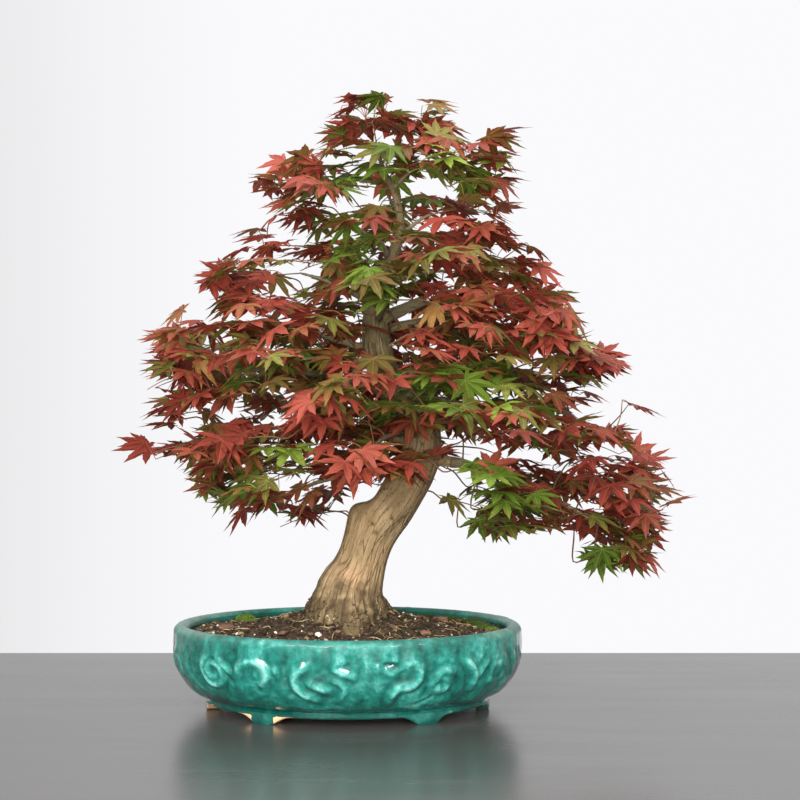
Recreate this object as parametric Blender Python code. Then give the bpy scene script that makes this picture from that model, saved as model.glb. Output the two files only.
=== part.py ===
"""A maple bonsai in an oval glazed pot: pot with feet, soil, drainage screens, tree and leaf sprays.

Metres, +Z up, the front faces -Y. Everything is modelled round the pot's own centre on the table and
hangs on one empty, which puts the middle of the whole plant's footprint at the origin.
"""

import itertools
import math
import random

import bmesh
import bpy
from mathutils import Euler, Matrix, Vector
from mathutils.bvhtree import BVHTree

MM = 0.001

# Driving dimensions
POT_LENGTH = 300 * MM
POT_DEPTH = 234 * MM
POT_HEIGHT = 73.5 * MM
PLANT_OFFSET = Vector((-50.2, -1.8, 0)) * MM  # from the footprint's middle to the pot's centre
WALL = 10 * MM
FOOT_HEIGHT = 5.7 * MM
SOIL_EDGE_Z = 66 * MM
MOUND = 23 * MM  # how much higher the soil would stand in the middle
GAP = 0.4 * MM  # between pieces that touch

# Pot, worked out from those
HALF_LENGTH, HALF_DEPTH = POT_LENGTH / 2, POT_DEPTH / 2
AROUND = 36
LIP_RADIUS = 6.2 * MM
LIP_Z = POT_HEIGHT - LIP_RADIUS
BELLY_Z = 58 * MM
BOWL_TUCK = 33 * MM  # how far the bowl draws in below the belly
BOWL_DROP = 46 * MM
FLOOR_THICKNESS = 7 * MM
BOWL_END = math.radians(78)
BAND_INSET = 31 * MM
FOOT_INSET = 28.5 * MM
FOOT_DEPTH = 9 * MM
FOOT_HALF_WIDTH = 24 * MM
TOE_HALF_WIDTH = 9 * MM
FEET_AT = [math.radians(a) for a in (0, 56, 124, 180, 236, 304)]
DRAIN_HOLE_X = 60 * MM
DRAIN_HOLE_RADIUS = 9 * MM
SCREEN_SIZE = 28 * MM
SCREEN_CELLS = 7
FLOOR_Z = BELLY_Z - (BOWL_DROP - 3.5 * MM) * math.sin(BOWL_END)
UNDERSIDE_Z = FLOOR_Z - FLOOR_THICKNESS

# The trunk's course: x, y, z of its middle and its radius there, in millimetres
TRUNK_COURSE = [
    (-1, -6, 50, 38),
    (0, -6, 70, 38),
    (1, -6, 88, 34.5),
    (3, -6, 104, 29),
    (9, -5, 118, 24),
    (14, -5, 133, 21.8),
    (19, -4, 148, 22.5),
    (26, -4, 163, 24.3),
    (35, -4, 176, 24),
    (50, -5, 194, 20),
    (61, -5, 213, 18.2),
    (64, -3, 234, 16.8),
    (53, 0, 258, 15.2),
    (34, 3, 283, 14.2),
    (25, 5, 312, 13),
    (25, 4, 349, 10.8),
    (34, 0, 380, 6.5),
    (45, -3, 408, 4.4),
    (42, -2, 438, 3.2),
    (31, 0, 462, 2.4),
    (25, 1, 482, 1.6),
]
TRUNK_SIDES = 12
STEPS_PER_SPAN = 2
ROOT_TOES = 5

# Branches: name, height on the trunk, tip's offset from the trunk's middle there (x, y, z), radius at
# the trunk, pitch of its sprays in degrees, and how many sprays stand on its sides. Millimetres.
BRANCHES = [
    ("low_left", 206, (-112, -28, -22), 5.0, -16, 1),
    ("left_long", 228, (-174, 14, -4), 6.0, -5, 2),
    ("left_wide", 266, (-144, -22, 24), 6.0, -3, 2),
    ("left_mid", 302, (-108, 18, 26), 5.0, 2, 1),
    ("left_high", 344, (-66, -12, 30), 4.0, 6, 0),
    ("left_top", 388, (-44, 6, 34), 3.0, 12, 0),
    ("low_right", 216, (152, -20, -56), 6.5, -12, 2),
    ("right_low", 246, (124, 22, -16), 5.5, -3, 1),
    ("right_wide", 282, (126, -14, 2), 6.0, 0, 1),
    ("right_mid", 322, (88, 16, 14), 5.0, 0, 1),
    ("right_high", 362, (60, -12, 14), 4.0, 4, 0),
    ("right_top", 404, (28, 8, 22), 3.0, 12, 0),
    ("crown_right", 446, (22, -4, 20), 2.2, 14, 0),
    ("crown_left", 446, (-20, 2, 22), 2.2, 18, 0),
    ("front_low", 234, (-42, -92, -6), 5.0, -10, 0),
    ("front_right", 262, (66, -88, -8), 5.0, -8, 1),
    ("front_left", 288, (-66, -84, 10), 5.0, -4, 1),
    ("front_mid", 330, (14, -84, 14), 4.5, 0, 0),
    ("front_high", 384, (-16, -50, 26), 3.2, 10, 0),
    ("back_low", 222, (24, 98, -10), 5.0, -8, 0),
    ("back_left", 252, (-92, 84, 8), 5.0, -5, 0),
    ("back_right", 272, (88, 88, 4), 5.0, -3, 0),
    ("back_mid", 316, (-18, 88, 22), 4.5, 2, 0),
    ("back_high", 366, (34, 64, 28), 3.5, 8, 0),
    ("back_top", 418, (-10, 34, 26), 2.6, 14, 0),
]
BRANCH_SIDES = 5
BRANCH_STEPS = 4
BRANCH_TIP_RADIUS = 1.4 * MM
STUB_COURSE = [(26, 4, 334), (46, -8, 342), (66, -20, 350)]  # a sawn-off branch
STUB_RADII = (7, 5.5, 5)
BURL = (7, -46, 78)  # a knob on the root at the front
BURL_RADIUS = 12 * MM
SIDE_SPRAYS_AT = (0.7, 0.52)  # share of the branch's length
SIDE_SPRAY_TURN = math.radians(62)

# A spray: a twig with two pairs of leaves and one at its end
TWIG_LENGTH = 56 * MM
TWIG_NODES = (18 * MM, 43 * MM)
TWIG_RADIUS = 0.9 * MM
NODE_LENGTH = 2.2 * MM
LEAF_THICKNESS = 1.1 * MM
PETIOLE = 13 * MM
# Blade, in millimetres from the stalk's end: (forward, sideways, droop)
LEAF_SHOULDER = (2.6, 4.4)
LEAF_NECK = (7.4, 2.7)
LEAF_SIDE_TIPS = [(0.5, 18.5, 3.0), (19.5, 17.0, 4.0)]
LEAF_END_TIP = (32, 0, 6.0)


def clear_scene():
    for obj in list(bpy.data.objects):
        bpy.data.objects.remove(obj)


def material(name, colour, roughness, metallic=0.0):
    mat = bpy.data.materials.new(name)
    mat.use_nodes = True
    shader = mat.node_tree.nodes["Principled BSDF"]
    shader.inputs["Base Color"].default_value = (*colour, 1)
    shader.inputs["Roughness"].default_value = roughness
    shader.inputs["Metallic"].default_value = metallic
    return mat


def add_object(name, bm, mat, parent):
    """Makes an object of the bmesh, with its faces outward, on the plant's empty."""
    bmesh.ops.recalc_face_normals(bm, faces=bm.faces)
    mesh = bpy.data.meshes.new(name)
    bm.to_mesh(mesh)
    bm.free()
    obj = bpy.data.objects.new(name, mesh)
    bpy.context.scene.collection.objects.link(obj)
    obj.parent = parent
    if mat:
        mesh.materials.append(mat)
    mesh.shade_smooth()
    mesh.set_sharp_from_angle(angle=math.radians(35))
    return obj


def as_cutter(obj):
    obj.hide_render = True
    obj.display_type = "WIRE"
    return obj


def boolean(obj, operation, others):
    """One Boolean on obj with a collection of helpers, which stay out of the result."""
    helpers = bpy.data.collections.new(obj.name + "_" + operation.lower())
    for other in others:
        helpers.objects.link(as_cutter(other))
    modifier = obj.modifiers.new(operation.title(), "BOOLEAN")
    modifier.operation = operation
    modifier.operand_type = "COLLECTION"
    modifier.collection = helpers


def skin_rings(rings, cap_start=True, cap_end=True):
    """A closed bmesh through rings of points that all have the same count."""
    bm = bmesh.new()
    loops = [[bm.verts.new(point) for point in ring] for ring in rings]
    for lower, upper in zip(loops, loops[1:]):
        for i in range(len(lower)):
            j = (i + 1) % len(lower)
            bm.faces.new((lower[i], lower[j], upper[j], upper[i]))
    if cap_start:
        bm.faces.new(loops[0])
    if cap_end:
        bm.faces.new(loops[-1])
    return bm


def oval(inset, z, count=AROUND):
    """A ring of the pot's oval, drawn in by inset."""
    points = []
    for i in range(count):
        angle = math.tau * i / count
        points.append(((HALF_LENGTH - inset) * math.cos(angle), (HALF_DEPTH - inset) * math.sin(angle), z))
    return points


def arc(start, end, steps):
    return [start + (end - start) * i / steps for i in range(steps + 1)]


# ---------------------------------------------------------------- pot


def bowl_profile():
    """(inset, z) from the middle of the underside, out, up, over the lip and down to the floor."""
    band = BAND_INSET
    profile = [(band + 8 * MM, UNDERSIDE_Z), (band + 6 * MM, FOOT_HEIGHT), (band + 1.5 * MM, FOOT_HEIGHT)]
    profile += [(band, 11.4 * MM), (band - 1.5 * MM, 12.2 * MM)]
    for angle in arc(BOWL_END, 0, 6):
        profile.append((BOWL_TUCK * (1 - math.cos(angle)), BELLY_Z - BOWL_DROP * math.sin(angle)))
    for angle in arc(math.pi, 0, 5):
        profile.append((7 * MM + LIP_RADIUS * math.cos(angle), LIP_Z + LIP_RADIUS * math.sin(angle)))
    inner_drop = BELLY_Z - FLOOR_Z
    for angle in arc(0, BOWL_END, 4):
        drop = inner_drop * math.sin(angle) / math.sin(BOWL_END)
        profile.append((WALL + BOWL_TUCK * (1 - math.cos(angle)), BELLY_Z - drop))
    return profile


def foot(angle):
    """One cloud-shaped foot: a curved bar under the band whose underside sweeps down to a flat toe."""
    stations = 8
    rings = []
    half_turn = FOOT_HALF_WIDTH / math.hypot(
        (HALF_LENGTH - BAND_INSET) * math.sin(angle), (HALF_DEPTH - BAND_INSET) * math.cos(angle)
    )
    top = FOOT_HEIGHT + 3 * MM
    for i in range(stations + 1):
        along = 2 * i / stations - 1
        reach = abs(along) * FOOT_HALF_WIDTH
        sweep = max(0.0, (reach - TOE_HALF_WIDTH) / (FOOT_HALF_WIDTH - TOE_HALF_WIDTH))
        bottom = (FOOT_HEIGHT + 0.8 * MM) * math.sin(sweep * math.pi / 2)
        turn = angle + along * half_turn
        flare = 1 - 0.5 * sweep
        ring = []
        for inset, z in (
            (BAND_INSET + FOOT_DEPTH, bottom),
            (BAND_INSET + FOOT_DEPTH, top),
            (BAND_INSET + 1 * MM, top),
            (BAND_INSET - (BAND_INSET - FOOT_INSET) * flare, bottom),
        ):
            x = (HALF_LENGTH - inset) * math.cos(turn)
            y = (HALF_DEPTH - inset) * math.sin(turn)
            ring.append((x, y, z))
        rings.append(ring)
    return skin_rings(rings)


def build_pot(parent, mat):
    pot = add_object("pot", skin_rings([oval(*point) for point in bowl_profile()]), mat, parent)
    feet = [add_object(f"foot_{i}", foot(angle), None, parent) for i, angle in enumerate(FEET_AT)]
    boolean(pot, "UNION", feet)
    holes = []
    for side in (-1, 1):
        bm = bmesh.new()
        place = Matrix.Translation((side * DRAIN_HOLE_X, 0, FLOOR_Z - FLOOR_THICKNESS / 2))
        bmesh.ops.create_cone(
            bm,
            cap_ends=True,
            segments=16,
            radius1=DRAIN_HOLE_RADIUS,
            radius2=DRAIN_HOLE_RADIUS,
            depth=3 * FLOOR_THICKNESS,
            matrix=place,
        )
        holes.append(add_object(f"hole_{side}", bm, None, parent))
    boolean(pot, "DIFFERENCE", holes)
    return pot


# ---------------------------------------------------------------- soil and what lies in and on it


def soil_height(x, y):
    """The soil's top: level at the wall, mounded round the trunk, with low lumps."""
    share = math.hypot(x / HALF_LENGTH, y / HALF_DEPTH)
    mound = MOUND * math.exp(-((share / 0.45) ** 2))
    lumps = 0.5 * MM * (math.sin(x / (7 * MM)) * math.cos(y / (6 * MM)) + math.sin((x + 2 * y) / (13 * MM)))
    return SOIL_EDGE_Z + mound + lumps * min(1.0, 3 * (1 - share))


def soil_body():
    rings = []
    clear = 0.8 * MM
    for angle in arc(BOWL_END, 0, 4):
        inset = WALL + clear + BOWL_TUCK * (1 - math.cos(angle))
        drop = (BELLY_Z - FLOOR_Z - 0.8 * MM) * math.sin(angle) / math.sin(BOWL_END)
        rings.append(oval(inset, BELLY_Z - drop))
    rim_inset = 14 * MM + clear
    for further in (0, 8, 24, 48, 76):
        outline = oval(rim_inset + further * MM, 0)
        rings.append([(x, y, soil_height(x, y)) for x, y, _ in outline])
    return skin_rings(rings)


def screen(side):
    """The square plastic mesh over one drain hole."""
    half, cells, thickness = SCREEN_SIZE / 2, SCREEN_CELLS, 1.0 * MM
    step = SCREEN_SIZE / SCREEN_CELLS
    bm = bmesh.new()
    place = Matrix.Translation((side * DRAIN_HOLE_X, 0, 0))
    bmesh.ops.create_grid(bm, x_segments=cells, y_segments=cells, size=half, matrix=place)
    holes = []
    for face in bm.faces:
        middle = face.calc_center_median() - Vector((side * DRAIN_HOLE_X, 0, 0))
        column, row = round(middle.x / step), round(middle.y / step)
        if column % 2 == 1 and row % 2 == 0 and max(abs(column), abs(row)) <= 2:
            holes.append(face)
    bmesh.ops.delete(bm, geom=holes, context="FACES")
    lowest = FLOOR_Z + GAP
    bmesh.ops.translate(bm, verts=bm.verts, vec=(0, 0, lowest))
    top = bmesh.ops.extrude_face_region(bm, geom=list(bm.faces))
    lifted = [item for item in top["geom"] if isinstance(item, bmesh.types.BMVert)]
    bmesh.ops.translate(bm, verts=lifted, vec=(0, 0, thickness))
    return bm


def screen_wire(side, parent, mat):
    """The wire staple that holds a screen: over the mesh, down the hole and out under the floor."""
    radius = 0.7 * MM
    over = FLOOR_Z + GAP + 1 * MM + radius + GAP
    under = UNDERSIDE_Z - radius - GAP
    leg = DRAIN_HOLE_RADIUS - radius - 2.2 * MM
    gap_x = SCREEN_SIZE / SCREEN_CELLS  # the openings either side of the middle
    curve = bpy.data.curves.new("mesh_wire", "CURVE")
    curve.dimensions = "3D"
    curve.bevel_depth = radius
    curve.bevel_resolution = 1
    curve.use_fill_caps = True
    spline = curve.splines.new("POLY")
    half = [(0, over), (gap_x * 0.6, over), (gap_x, over - 1 * MM), (gap_x, under + 2 * MM)]
    half += [(gap_x + 1 * MM, under), (leg + 9 * MM, under)]
    route = [(-x, z) for x, z in reversed(half)] + half[1:]
    spline.points.add(len(route) - 1)
    for point, (x, z) in zip(spline.points, route):
        point.co = (side * DRAIN_HOLE_X + x, 0, z, 1)
    name = "mesh_wire_" + ("left" if side < 0 else "right")
    obj = bpy.data.objects.new(name, curve)
    bpy.context.scene.collection.objects.link(obj)
    obj.parent = parent
    curve.materials.append(mat)
    return obj


def build_soil(parent, mats):
    soil = add_object("soil", soil_body(), mats["soil"], parent)
    cutters = [add_object("trunk_socket", trunk_tube(clearance=1.2 * MM, spans=4), None, parent)]
    cutters.append(add_object("burl_socket", burl(clearance=1.2 * MM), None, parent))
    for side in (-1, 1):
        bm = bmesh.new()
        size = Vector((32, 32, 7)) * MM
        middle = Vector((side * DRAIN_HOLE_X, 0, FLOOR_Z))
        bmesh.ops.create_cube(bm, size=1, matrix=Matrix.Translation(middle) @ Matrix.Diagonal((*size, 1)))
        cutters.append(add_object(f"screen_pocket_{side}", bm, None, parent))
        name = "drainage_mesh_" + ("left" if side < 0 else "right")
        add_object(name, screen(side), mats["plastic"], parent)
        screen_wire(side, parent, mats["wire"])
    boolean(soil, "DIFFERENCE", cutters)


def moss_pad(middle, half_size, height, seed):
    """A low cushion whose underside follows the soil a little above it."""
    count = 10
    jitter = random.Random(seed)
    edge = [1 + 0.18 * jitter.uniform(-1, 1) for _ in range(count)]
    rings = []
    for share, lift in ((0.55, 0), (1.0, 0), (1.0, 0.3), (0.75, 0.8), (0.35, 1.0)):
        ring = []
        for i in range(count):
            angle = math.tau * i / count
            x = middle[0] * MM + half_size[0] * MM * share * edge[i] * math.cos(angle)
            y = middle[1] * MM + half_size[1] * MM * share * edge[i] * math.sin(angle)
            ring.append((x, y, soil_height(x, y) + 1.6 * MM + lift * height * MM))
        rings.append(ring)
    return skin_rings(rings)


def chip(middle, size, turn, tilt, lift):
    """A flake of bark or grit: a block with its upper edges worn off, lying on the soil."""
    bm = bmesh.new()
    bmesh.ops.create_cube(bm, size=1, matrix=Matrix.Diagonal((*(Vector(size) * MM), 1)))
    bmesh.ops.bevel(bm, geom=bm.edges, offset=min(size) * 0.25 * MM, segments=1, affect="EDGES")
    x, y = middle[0] * MM, middle[1] * MM
    place = Matrix.Translation((x, y, soil_height(x, y) + (size[2] / 2 + lift) * MM))
    spin = Euler((math.radians(tilt), 0, math.radians(turn))).to_matrix().to_4x4()
    bmesh.ops.transform(bm, matrix=place @ spin, verts=bm.verts)
    return bm


def build_topdressing(parent, mats):
    pads = {"moss_left": ((-86, 34), (13, 8), 5.5), "moss_right": ((112, 16), (9, 14), 4.5)}
    pads["moss_back"] = ((70, 62), (18, 9), 4.0)
    for i, (name, (middle, half_size, height)) in enumerate(pads.items()):
        add_object(name, moss_pad(middle, half_size, height, i), mats["moss"], parent)
    chips = {
        "bark_chip_left": ((-104, -14), (13, 9, 3.4), 35, 12, 2.6, "bark"),
        "bark_chip_back": ((80, 34), (13, 8, 3.6), 160, -10, 2.6, "bark"),
        "bark_chip_right": ((66, -52), (9, 6, 3.0), 20, 8, 2.4, "bark"),
        "bark_chip_front": ((-52, -58), (11, 6, 3.0), 75, -8, 2.4, "bark"),
        "white_pebble": ((-22, -66), (6, 5, 5.0), 10, 0, 2.2, "grit"),
    }
    for name, (middle, size, turn, tilt, lift, slot) in chips.items():
        add_object(name, chip(middle, size, turn, tilt, lift), mats[slot], parent)


# ---------------------------------------------------------------- wood


def smooth_course(course, steps):
    """Catmull-Rom points through a list of (x, y, z, radius), so that position and girth flow together."""
    points = [Vector(row) for row in course]
    points = [2 * points[0] - points[1], *points, 2 * points[-1] - points[-2]]
    found = []
    for a, b, c, d in zip(points, points[1:], points[2:], points[3:]):
        for i in range(steps):
            t = i / steps
            square = (2 * a - 5 * b + 4 * c - d) * t * t
            cube = (3 * b - a - 3 * c + d) * t**3
            found.append(0.5 * (2 * b + (c - a) * t + square + cube))
    return [*found, points[-2]]


def tube_rings(centres, radii, sides, shape=None):
    """Rings square to a course of points. shape(ring index, angle) can swell a ring's radius."""
    rings = []
    across = Vector((1, 0, 0))
    for i, centre in enumerate(centres):
        before, after = centres[max(i - 1, 0)], centres[min(i + 1, len(centres) - 1)]
        along = (after - before).normalized()
        across = (across - along * across.dot(along)).normalized()
        up = along.cross(across)
        ring = []
        for k in range(sides):
            angle = math.tau * k / sides
            radius = radii[i] * (shape(i, angle) if shape else 1)
            ring.append(centre + radius * (math.cos(angle) * across + math.sin(angle) * up))
        rings.append(ring)
    return rings


def trunk_points():
    course = smooth_course(TRUNK_COURSE, STEPS_PER_SPAN)
    return [Vector(p[:3]) * MM for p in course], [p[3] * MM for p in course]


def trunk_tube(clearance=0.0, spans=None):
    """The trunk with its root toes. With a clearance and a few spans it is the socket's cutter."""
    centres, radii = trunk_points()
    if spans:
        centres, radii = centres[: spans * STEPS_PER_SPAN], radii[: spans * STEPS_PER_SPAN]
        centres = [centres[0] - Vector((0, 0, clearance)), *centres[1:]]
    radii = [radius + clearance for radius in radii]

    def toes(i, angle):
        low = max(0.0, 1 - (centres[i].z - 52 * MM) / (62 * MM))
        return 1 + 0.16 * low * math.cos(ROOT_TOES * angle + 0.6)

    return skin_rings(tube_rings(centres, radii, TRUNK_SIDES, toes))


def burl(clearance=0.0):
    bm = bmesh.new()
    place = Matrix.Translation(Vector(BURL) * MM)
    bmesh.ops.create_icosphere(bm, subdivisions=2, radius=BURL_RADIUS + clearance, matrix=place)
    return bm


def trunk_middle(height):
    """The trunk's middle at a height, for where a branch starts."""
    centres, _ = trunk_points()
    for low, high in zip(centres, centres[1:]):
        if low.z <= height <= high.z:
            return low.lerp(high, (height - low.z) / (high.z - low.z))
    return centres[-1]


def branch_course(height, offset):
    """A branch's middle line: it rises out of the trunk, arches over and levels out."""
    start = trunk_middle(height * MM)
    end = start + Vector(offset) * MM
    reach = (end - start).length
    bend = start.lerp(end, 0.45) + Vector((0, 0, 0.13 * reach))
    points = []
    for i in range(BRANCH_STEPS + 1):
        t = i / BRANCH_STEPS
        points.append(start * (1 - t) ** 2 + 2 * bend * t * (1 - t) + end * t * t)
    return points


def branch_radius(base, t):
    return base * MM * (1 - t) + BRANCH_TIP_RADIUS * t


def build_tree(parent, mat):
    tree = add_object("tree", trunk_tube(), mat, parent)
    limbs = []
    for name, height, offset, base, _, _ in BRANCHES:
        course = branch_course(height, offset)
        radii = [branch_radius(base, i / BRANCH_STEPS) for i in range(BRANCH_STEPS + 1)]
        shape = skin_rings(tube_rings(course, radii, BRANCH_SIDES))
        limbs.append(add_object("limb_" + name, shape, None, parent))
    course = [Vector(point) * MM for point in STUB_COURSE]
    radii = [radius * MM for radius in STUB_RADII]
    limbs.append(add_object("limb_stub", skin_rings(tube_rings(course, radii, BRANCH_SIDES)), None, parent))
    limbs.append(add_object("limb_burl", burl(), None, parent))
    boolean(tree, "UNION", limbs)
    return tree


# ---------------------------------------------------------------- leaf sprays


class Shell:
    """A closed shell that grows from open four-cornered loops."""

    def __init__(self):
        self.points = []
        self.faces = []

    def add(self, point):
        self.points.append(point)
        return len(self.points) - 1

    def grow(self, loop, middle, side, up, half_width, half_thickness, leave_open=False):
        """Walls from a loop to one of a new place and size. Returns it and, if left open, the two sides."""
        old = sum((self.points[i] for i in loop), Vector()) / 4
        grown = []
        for i in loop:
            away = self.points[i] - old
            s = math.copysign(half_width, away.dot(side))
            u = math.copysign(half_thickness, away.dot(up))
            grown.append(self.add(middle + side * s + up * u))
        sides = []
        for k in range(4):
            m = (k + 1) % 4
            wall = (loop[k], loop[m], grown[m], grown[k])
            across = self.points[loop[m]] - self.points[loop[k]]
            if leave_open and abs(across.dot(up)) > abs(across.dot(side)):
                sides.append(wall)
            else:
                self.faces.append(wall)
        return grown, sides

    def point_out(self, loop, tip):
        """Draws an open loop out to a point."""
        apex = self.add(tip)
        for k in range(len(loop)):
            self.faces.append((loop[k], loop[(k + 1) % len(loop)], apex))

    def mesh(self):
        bm = bmesh.new()
        verts = [bm.verts.new(point) for point in self.points]
        for face in self.faces:
            bm.faces.new([verts[i] for i in face])
        bmesh.ops.recalc_face_normals(bm, faces=bm.faces)
        return bm


def leaf(shell, loop, direction, petiole, size):
    """A stalk and a five-lobed blade, grown from an open loop on the twig."""
    side = Vector((0, 0, 1)).cross(direction).normalized()
    up = direction.cross(side).normalized()
    half = LEAF_THICKNESS / 2
    start = sum((shell.points[i] for i in loop), Vector()) / 4
    foot_at = start + direction * petiole
    loop, _ = shell.grow(loop, foot_at, side, up, 0.7 * MM, half)

    def at(forward, sideways, drop=0.0):
        return foot_at + (direction * forward + side * sideways - up * drop) * size * MM

    def pair(forward, sideways):
        return [shell.add(at(forward, sideways) + up * half * sign) for sign in (-1, 1)]

    blade = {}
    for sign in (-1, 1):
        stalk = [i for i in loop if (shell.points[i] - foot_at).dot(side) * sign > 0]
        stalk.sort(key=lambda i: (shell.points[i] - foot_at).dot(up))
        shoulder = pair(LEAF_SHOULDER[0], LEAF_SHOULDER[1] * sign)
        neck = pair(LEAF_NECK[0], LEAF_NECK[1] * sign)
        blade[sign] = [stalk, shoulder, neck]
        for (low, high), (next_low, next_high), tip in zip(blade[sign], blade[sign][1:], LEAF_SIDE_TIPS):
            shell.point_out((low, next_low, next_high, high), at(tip[0], tip[1] * sign, tip[2]))
    for level in (0, 1):
        outline = [step[level] for step in blade[-1]] + [step[level] for step in reversed(blade[1])]
        shell.faces.append(tuple(outline))
    (low, high), (far_low, far_high) = blade[-1][-1], blade[1][-1]
    shell.point_out((low, far_low, far_high, high), at(*LEAF_END_TIP))


def spray_mesh(seed):
    """One spray in its own frame: the twig runs along +X from the origin, leaves lie face up."""
    jitter = random.Random(seed)
    side, up = Vector((0, 1, 0)), Vector((0, 0, 1))
    shell = Shell()
    r = TWIG_RADIUS
    loop = [shell.add(Vector(p)) for p in ((0, -r, -r), (0, r, -r), (0, r, r), (0, -r, r))]
    shell.faces.append(tuple(loop))
    for share, node in enumerate(TWIG_NODES):
        thin = r * (0.8, 0.6)[share]
        middle = Vector((node, 0, 0))
        loop, _ = shell.grow(loop, middle, side, up, thin, thin)
        middle = middle + Vector((NODE_LENGTH, 0, 0))
        loop, buds = shell.grow(loop, middle, side, up, thin, thin, leave_open=True)
        for bud in buds:
            sign = math.copysign(1, sum(shell.points[i].y for i in bud))
            turn = math.radians(62 - 4 * share + jitter.uniform(-6, 6)) * sign
            pitch = math.radians((-24, 6)[share] + jitter.uniform(-3, 3))
            level = math.cos(pitch)
            direction = Vector((math.cos(turn) * level, math.sin(turn) * level, math.sin(pitch)))
            size = (1.0, 0.9)[share] * jitter.uniform(0.92, 1.05)
            leaf(shell, bud, direction, PETIOLE * jitter.uniform(0.9, 1.1), size)
    loop, _ = shell.grow(loop, Vector((TWIG_LENGTH, 0, 1.5 * MM)), side, up, 0.5 * MM, 0.5 * MM)
    rise = math.radians(28)
    leaf(shell, loop, Vector((math.cos(rise), 0, math.sin(rise))), 6 * MM, 0.95 * jitter.uniform(0.95, 1.05))
    return shell.mesh()


def spray_spots():
    """(name, foot, yaw, pitch) of every spray: one at each branch's tip, some on the long ones' sides."""
    spots = []
    for name, height, offset, base, pitch, sides in BRANCHES:
        course = branch_course(height, offset)
        out = (course[-1] - course[-2]).normalized()
        yaw = math.atan2(out.y, out.x)
        spots.append((f"spray_{name}", course[-1] + out * (TWIG_RADIUS + GAP), yaw, math.radians(pitch)))
        for k in range(sides):
            share = SIDE_SPRAYS_AT[k]
            step = share * BRANCH_STEPS
            low = int(step)
            foot_at = course[low].lerp(course[low + 1], step - low)
            turned = yaw + SIDE_SPRAY_TURN * (1 if k % 2 == (offset[1] > 0) else -1)
            clear = branch_radius(base, share) + TWIG_RADIUS + 2 * GAP
            foot_at = foot_at + Vector((math.cos(turned), math.sin(turned), 0.3)).normalized() * clear
            spots.append((f"spray_{name}_side_{k + 1}", foot_at, turned, math.radians(pitch)))
    centres, _ = trunk_points()
    foot_at = centres[-1] + Vector((0, 0, TWIG_RADIUS + 2 * GAP))
    spots.append(("spray_crown", foot_at, math.radians(200), math.radians(24)))
    return spots


def world_tree(obj):
    """A search tree of the object's shape as it ends up, for finding crossings."""
    graph = bpy.context.evaluated_depsgraph_get()
    evaluated = obj.evaluated_get(graph)
    bm = bmesh.new()
    bm.from_mesh(evaluated.to_mesh())
    bm.transform(obj.matrix_world)
    tree = BVHTree.FromBMesh(bm)
    bm.free()
    return tree


def turns_to_try():
    """Small changes of heading, tilt and roll, the smallest first."""
    steps = list(itertools.product(range(-48, 49, 8), range(-24, 25, 6), (-16, 0, 16)))
    steps.sort(key=lambda s: (abs(s[0]) + 1.6 * abs(s[1]) + 0.7 * abs(s[2]), s))
    return steps


def build_sprays(parent, mat, tree):
    """Places each spray, turning it about its foot until it crosses nothing that is already there."""
    bpy.context.view_layer.update()
    placed = [world_tree(tree)]
    for seed, (name, foot_at, yaw, pitch) in enumerate(spray_spots()):
        shape = spray_mesh(seed)
        for turn in turns_to_try():
            d_yaw, d_pitch, roll = (math.radians(a) for a in turn)
            spin = Euler((roll, -(pitch + d_pitch), yaw + d_yaw)).to_matrix().to_4x4()
            place = Matrix.Translation(foot_at) @ spin
            trial = shape.copy()
            trial.transform(parent.matrix_world @ place)
            found = BVHTree.FromBMesh(trial)
            trial.free()
            if not any(found.overlap(other) for other in placed):
                break
        else:
            raise ValueError(name + " finds no clear place")
        placed.append(found)
        obj = add_object(name, shape, mat, parent)
        obj.matrix_local = place


def main():
    clear_scene()
    plant = bpy.data.objects.new("plant", None)
    bpy.context.scene.collection.objects.link(plant)
    plant.location = PLANT_OFFSET
    mats = {
        "glaze": material("turquoise_glaze", (0.06, 0.33, 0.27), 0.18),
        "soil": material("soil", (0.07, 0.045, 0.03), 0.95),
        "plastic": material("black_plastic", (0.02, 0.02, 0.02), 0.6),
        "wire": material("aluminium_wire", (0.5, 0.42, 0.34), 0.35, 1.0),
        "moss": material("moss", (0.09, 0.17, 0.02), 0.95),
        "bark": material("bark_chip", (0.24, 0.12, 0.07), 0.9),
        "grit": material("pale_grit", (0.62, 0.56, 0.45), 0.8),
        "wood": material("maple_bark", (0.42, 0.29, 0.15), 0.85),
        "leaf": material("maple_leaf", (0.30, 0.04, 0.025), 0.55),
    }
    build_pot(plant, mats["glaze"])
    build_soil(plant, mats)
    build_topdressing(plant, mats)
    tree = build_tree(plant, mats["wood"])
    build_sprays(plant, mats["leaf"], tree)


main()
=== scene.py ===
# %% [markdown]
# # A maple bonsai in an oval glazed pot
#
# This lesson dresses a measured model of a small potted maple. The measured model gives the pot, the
# soil, the wood and the whole size. The crown's outline, its pads and the pot's scrolls aren't in it:
# they come from this tree's own tables, further down. Everything that is seen is made here: the glazed
# clay, the bark, the soil and nearly two thousand leaves. Lengths are in millimetres, times MM.

# %% Load the measured model
import math
import random

import bmesh
import bpy
import numpy as np
from mathutils import Euler, Matrix, Vector, noise
from mathutils.kdtree import KDTree


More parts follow.
